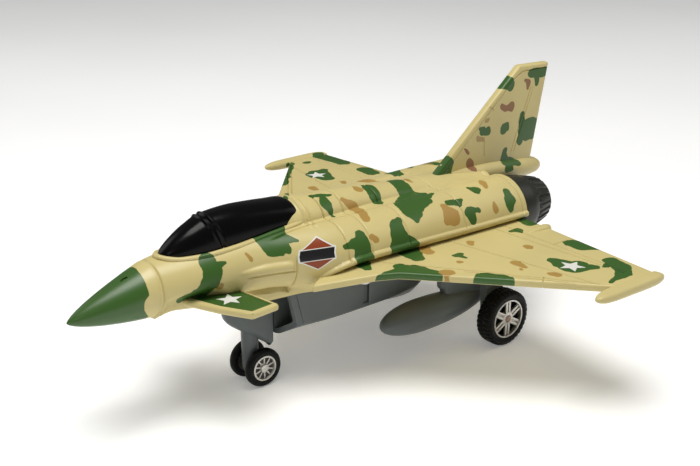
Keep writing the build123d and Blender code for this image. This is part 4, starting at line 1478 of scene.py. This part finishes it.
# ================================================================ the airplane
add_camera()
add_floor()
add_lamps()
bpy.context.scene.view_settings.view_transform = "Standard"
CAPSULE = capsule_group()
tan_paint = painted("tan_paint", [])
LEVEL_PLAN = (1, 1, 0)  # which of out, aft and up count towards a patch's distance
UPRIGHT_PLAN = (0, 1, 1)
WHOLE = (1, 1, 1)
body_paints = [
    painted(
        name,
        [
            (body_chains(SIDE_GREENS, low, high), GREEN, WHOLE, True),
            (body_chains(SPINE_GREENS, low, high), GREEN, WHOLE, False),
            (body_chains(SIDE_BROWNS, low, high), BROWN, WHOLE, True),
            (body_chains(SPINE_BROWNS, low, high), BROWN, WHOLE, False),
        ],
        badge=name == "body_paint_front",
    )
    for name, low, high in (
        ("body_paint_front", 0, PAINT_BREAK_1),
        ("body_paint_middle", PAINT_BREAK_1, PAINT_BREAK_2),
        ("body_paint_rear", PAINT_BREAK_2, TAIL_Y),
    )
]
wing_paint_left, wing_paint_right = (
    painted(
        name,
        [
            (flat_chains(greens, "xy", side), GREEN, LEVEL_PLAN, False),
            (flat_chains(browns, "xy", side), BROWN, LEVEL_PLAN, False),
        ],
        WING_UNDER + 0.4,
    )
    for name, greens, browns, side in (
        ("wing_paint_left", WING_GREENS_LEFT, WING_BROWNS_LEFT, 1),
        ("wing_paint_right", WING_GREENS_RIGHT, WING_BROWNS_RIGHT, -1),
    )
)
fin_paint = painted(
    "fin_paint",
    [
        (flat_chains(FIN_GREENS, "yz"), GREEN, UPRIGHT_PLAN, False),
        (flat_chains(FIN_BROWNS, "yz"), FIN_BROWN, UPRIGHT_PLAN, False),
        (flat_chains(FIN_PALE, "yz"), FIN_BUFF, UPRIGHT_PLAN, False),
    ],
)
nose_green = nose_material()
star_white = plastic("star_white", WHITE, 0.4)
green_panel = plastic("green_panel", GREEN, 0.4)
canopy_gloss = plastic("canopy_gloss", (0.003, 0.003, 0.003), 0.2, grain=0.0, sheen=0.14)
nozzle_plastic = plastic("nozzle_plastic", (0.028, 0.028, 0.023), 0.34)
grey_plastic = plastic("grey_plastic", (0.118, 0.134, 0.135), 0.36)
silver = metal("wheel_silver", (0.62, 0.6, 0.56), 0.32, 0.85)
# painted shade: a dark metal that stands for the shade in the nose wheels' sunk rings
recess_shade_metal = metal("wheel_recess_painted_shade", (0.08, 0.075, 0.07), 0.5, 0.6)
bronze = metal("cap_bronze", (0.36, 0.24, 0.19), 0.4, 0.7)
rubber = plastic("rubber", (0.006, 0.006, 0.006), 0.45, grain=0.1, sheen=0.14)
steel = metal("steel", (0.55, 0.55, 0.56), 0.28)

body = fuselage()
for paint in body_paints:
    body.data.materials.append(paint)
for face in body.data.polygons:
    station = (face.center.y - NOSE_Y) / MM
    face.material_index = int(station > PAINT_BREAK_1) + int(station > PAINT_BREAK_2)
finish_piece(body, ["fuselage_upper", "fuselage_lower"])
finish_piece(nose_cone(), ["nose_cone"], nose_green)
finish_piece(canopy(), ["canopy"], canopy_gloss)
sill = canopy_sill()
sill.data.materials.append(body_paints[0])
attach(sill, BODY)
finish_piece(fin(), ["tail_fin"], fin_paint)
finish_piece(belly(), ["belly_shell"], grey_plastic)
finish_piece(housing(), ["nose_gear_housing"], grey_plastic)
finish_piece(leg(), ["nose_leg"], grey_plastic)

both_sides(wing, "wing", (wing_paint_left, wing_paint_right))
both_sides(canard, "canard", (None, None))
both_sides(nozzle, "jet_nozzle", (nozzle_plastic,) * 2)
both_sides(tank, "drop_tank", (grey_plastic,) * 2)
both_sides(pylon, "tank_pylon", (grey_plastic,) * 2)
both_sides(main_tyre, "main_tyre", (rubber,) * 2, MAIN_WHEELS)
both_sides(main_rim, "main_rim", (silver,) * 2, MAIN_WHEELS)
both_sides(hub_cap, "main_hub_cap", (bronze,) * 2, MAIN_WHEELS)
both_sides(nose_tyre, "nose_tyre", (rubber,) * 2, NOSE_WHEELS)
both_sides(nose_hub, "nose_hub", (None, None), NOSE_WHEELS)

stars = [
    star((85.8, 186.2), WING_TOP, 5.8, 180),
    star((-82.0, 180.2), WING_TOP, 5.4, 10),
    star((19.2, 60.2), CANARD_TOP - CANARD_SUNK, 5.4, 157),
    star((-19.2, 60.2), CANARD_TOP - CANARD_SUNK, 5.4, 23),
]
prints = join(stars, "star_prints")
prints.data.materials.append(star_white)
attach(prints, BODY)

for node, material in (
    ("nose_axle", steel),
    ("main_pin_left", steel),
    ("main_pin_right", steel),
    ("case_screws", steel),
    ("main_leg_left", grey_plastic),
    ("main_leg_right", grey_plastic),
):
    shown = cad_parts[node]
    shown.data.materials.clear()
    shown.data.materials.append(material)

bpy.context.view_layer.update()
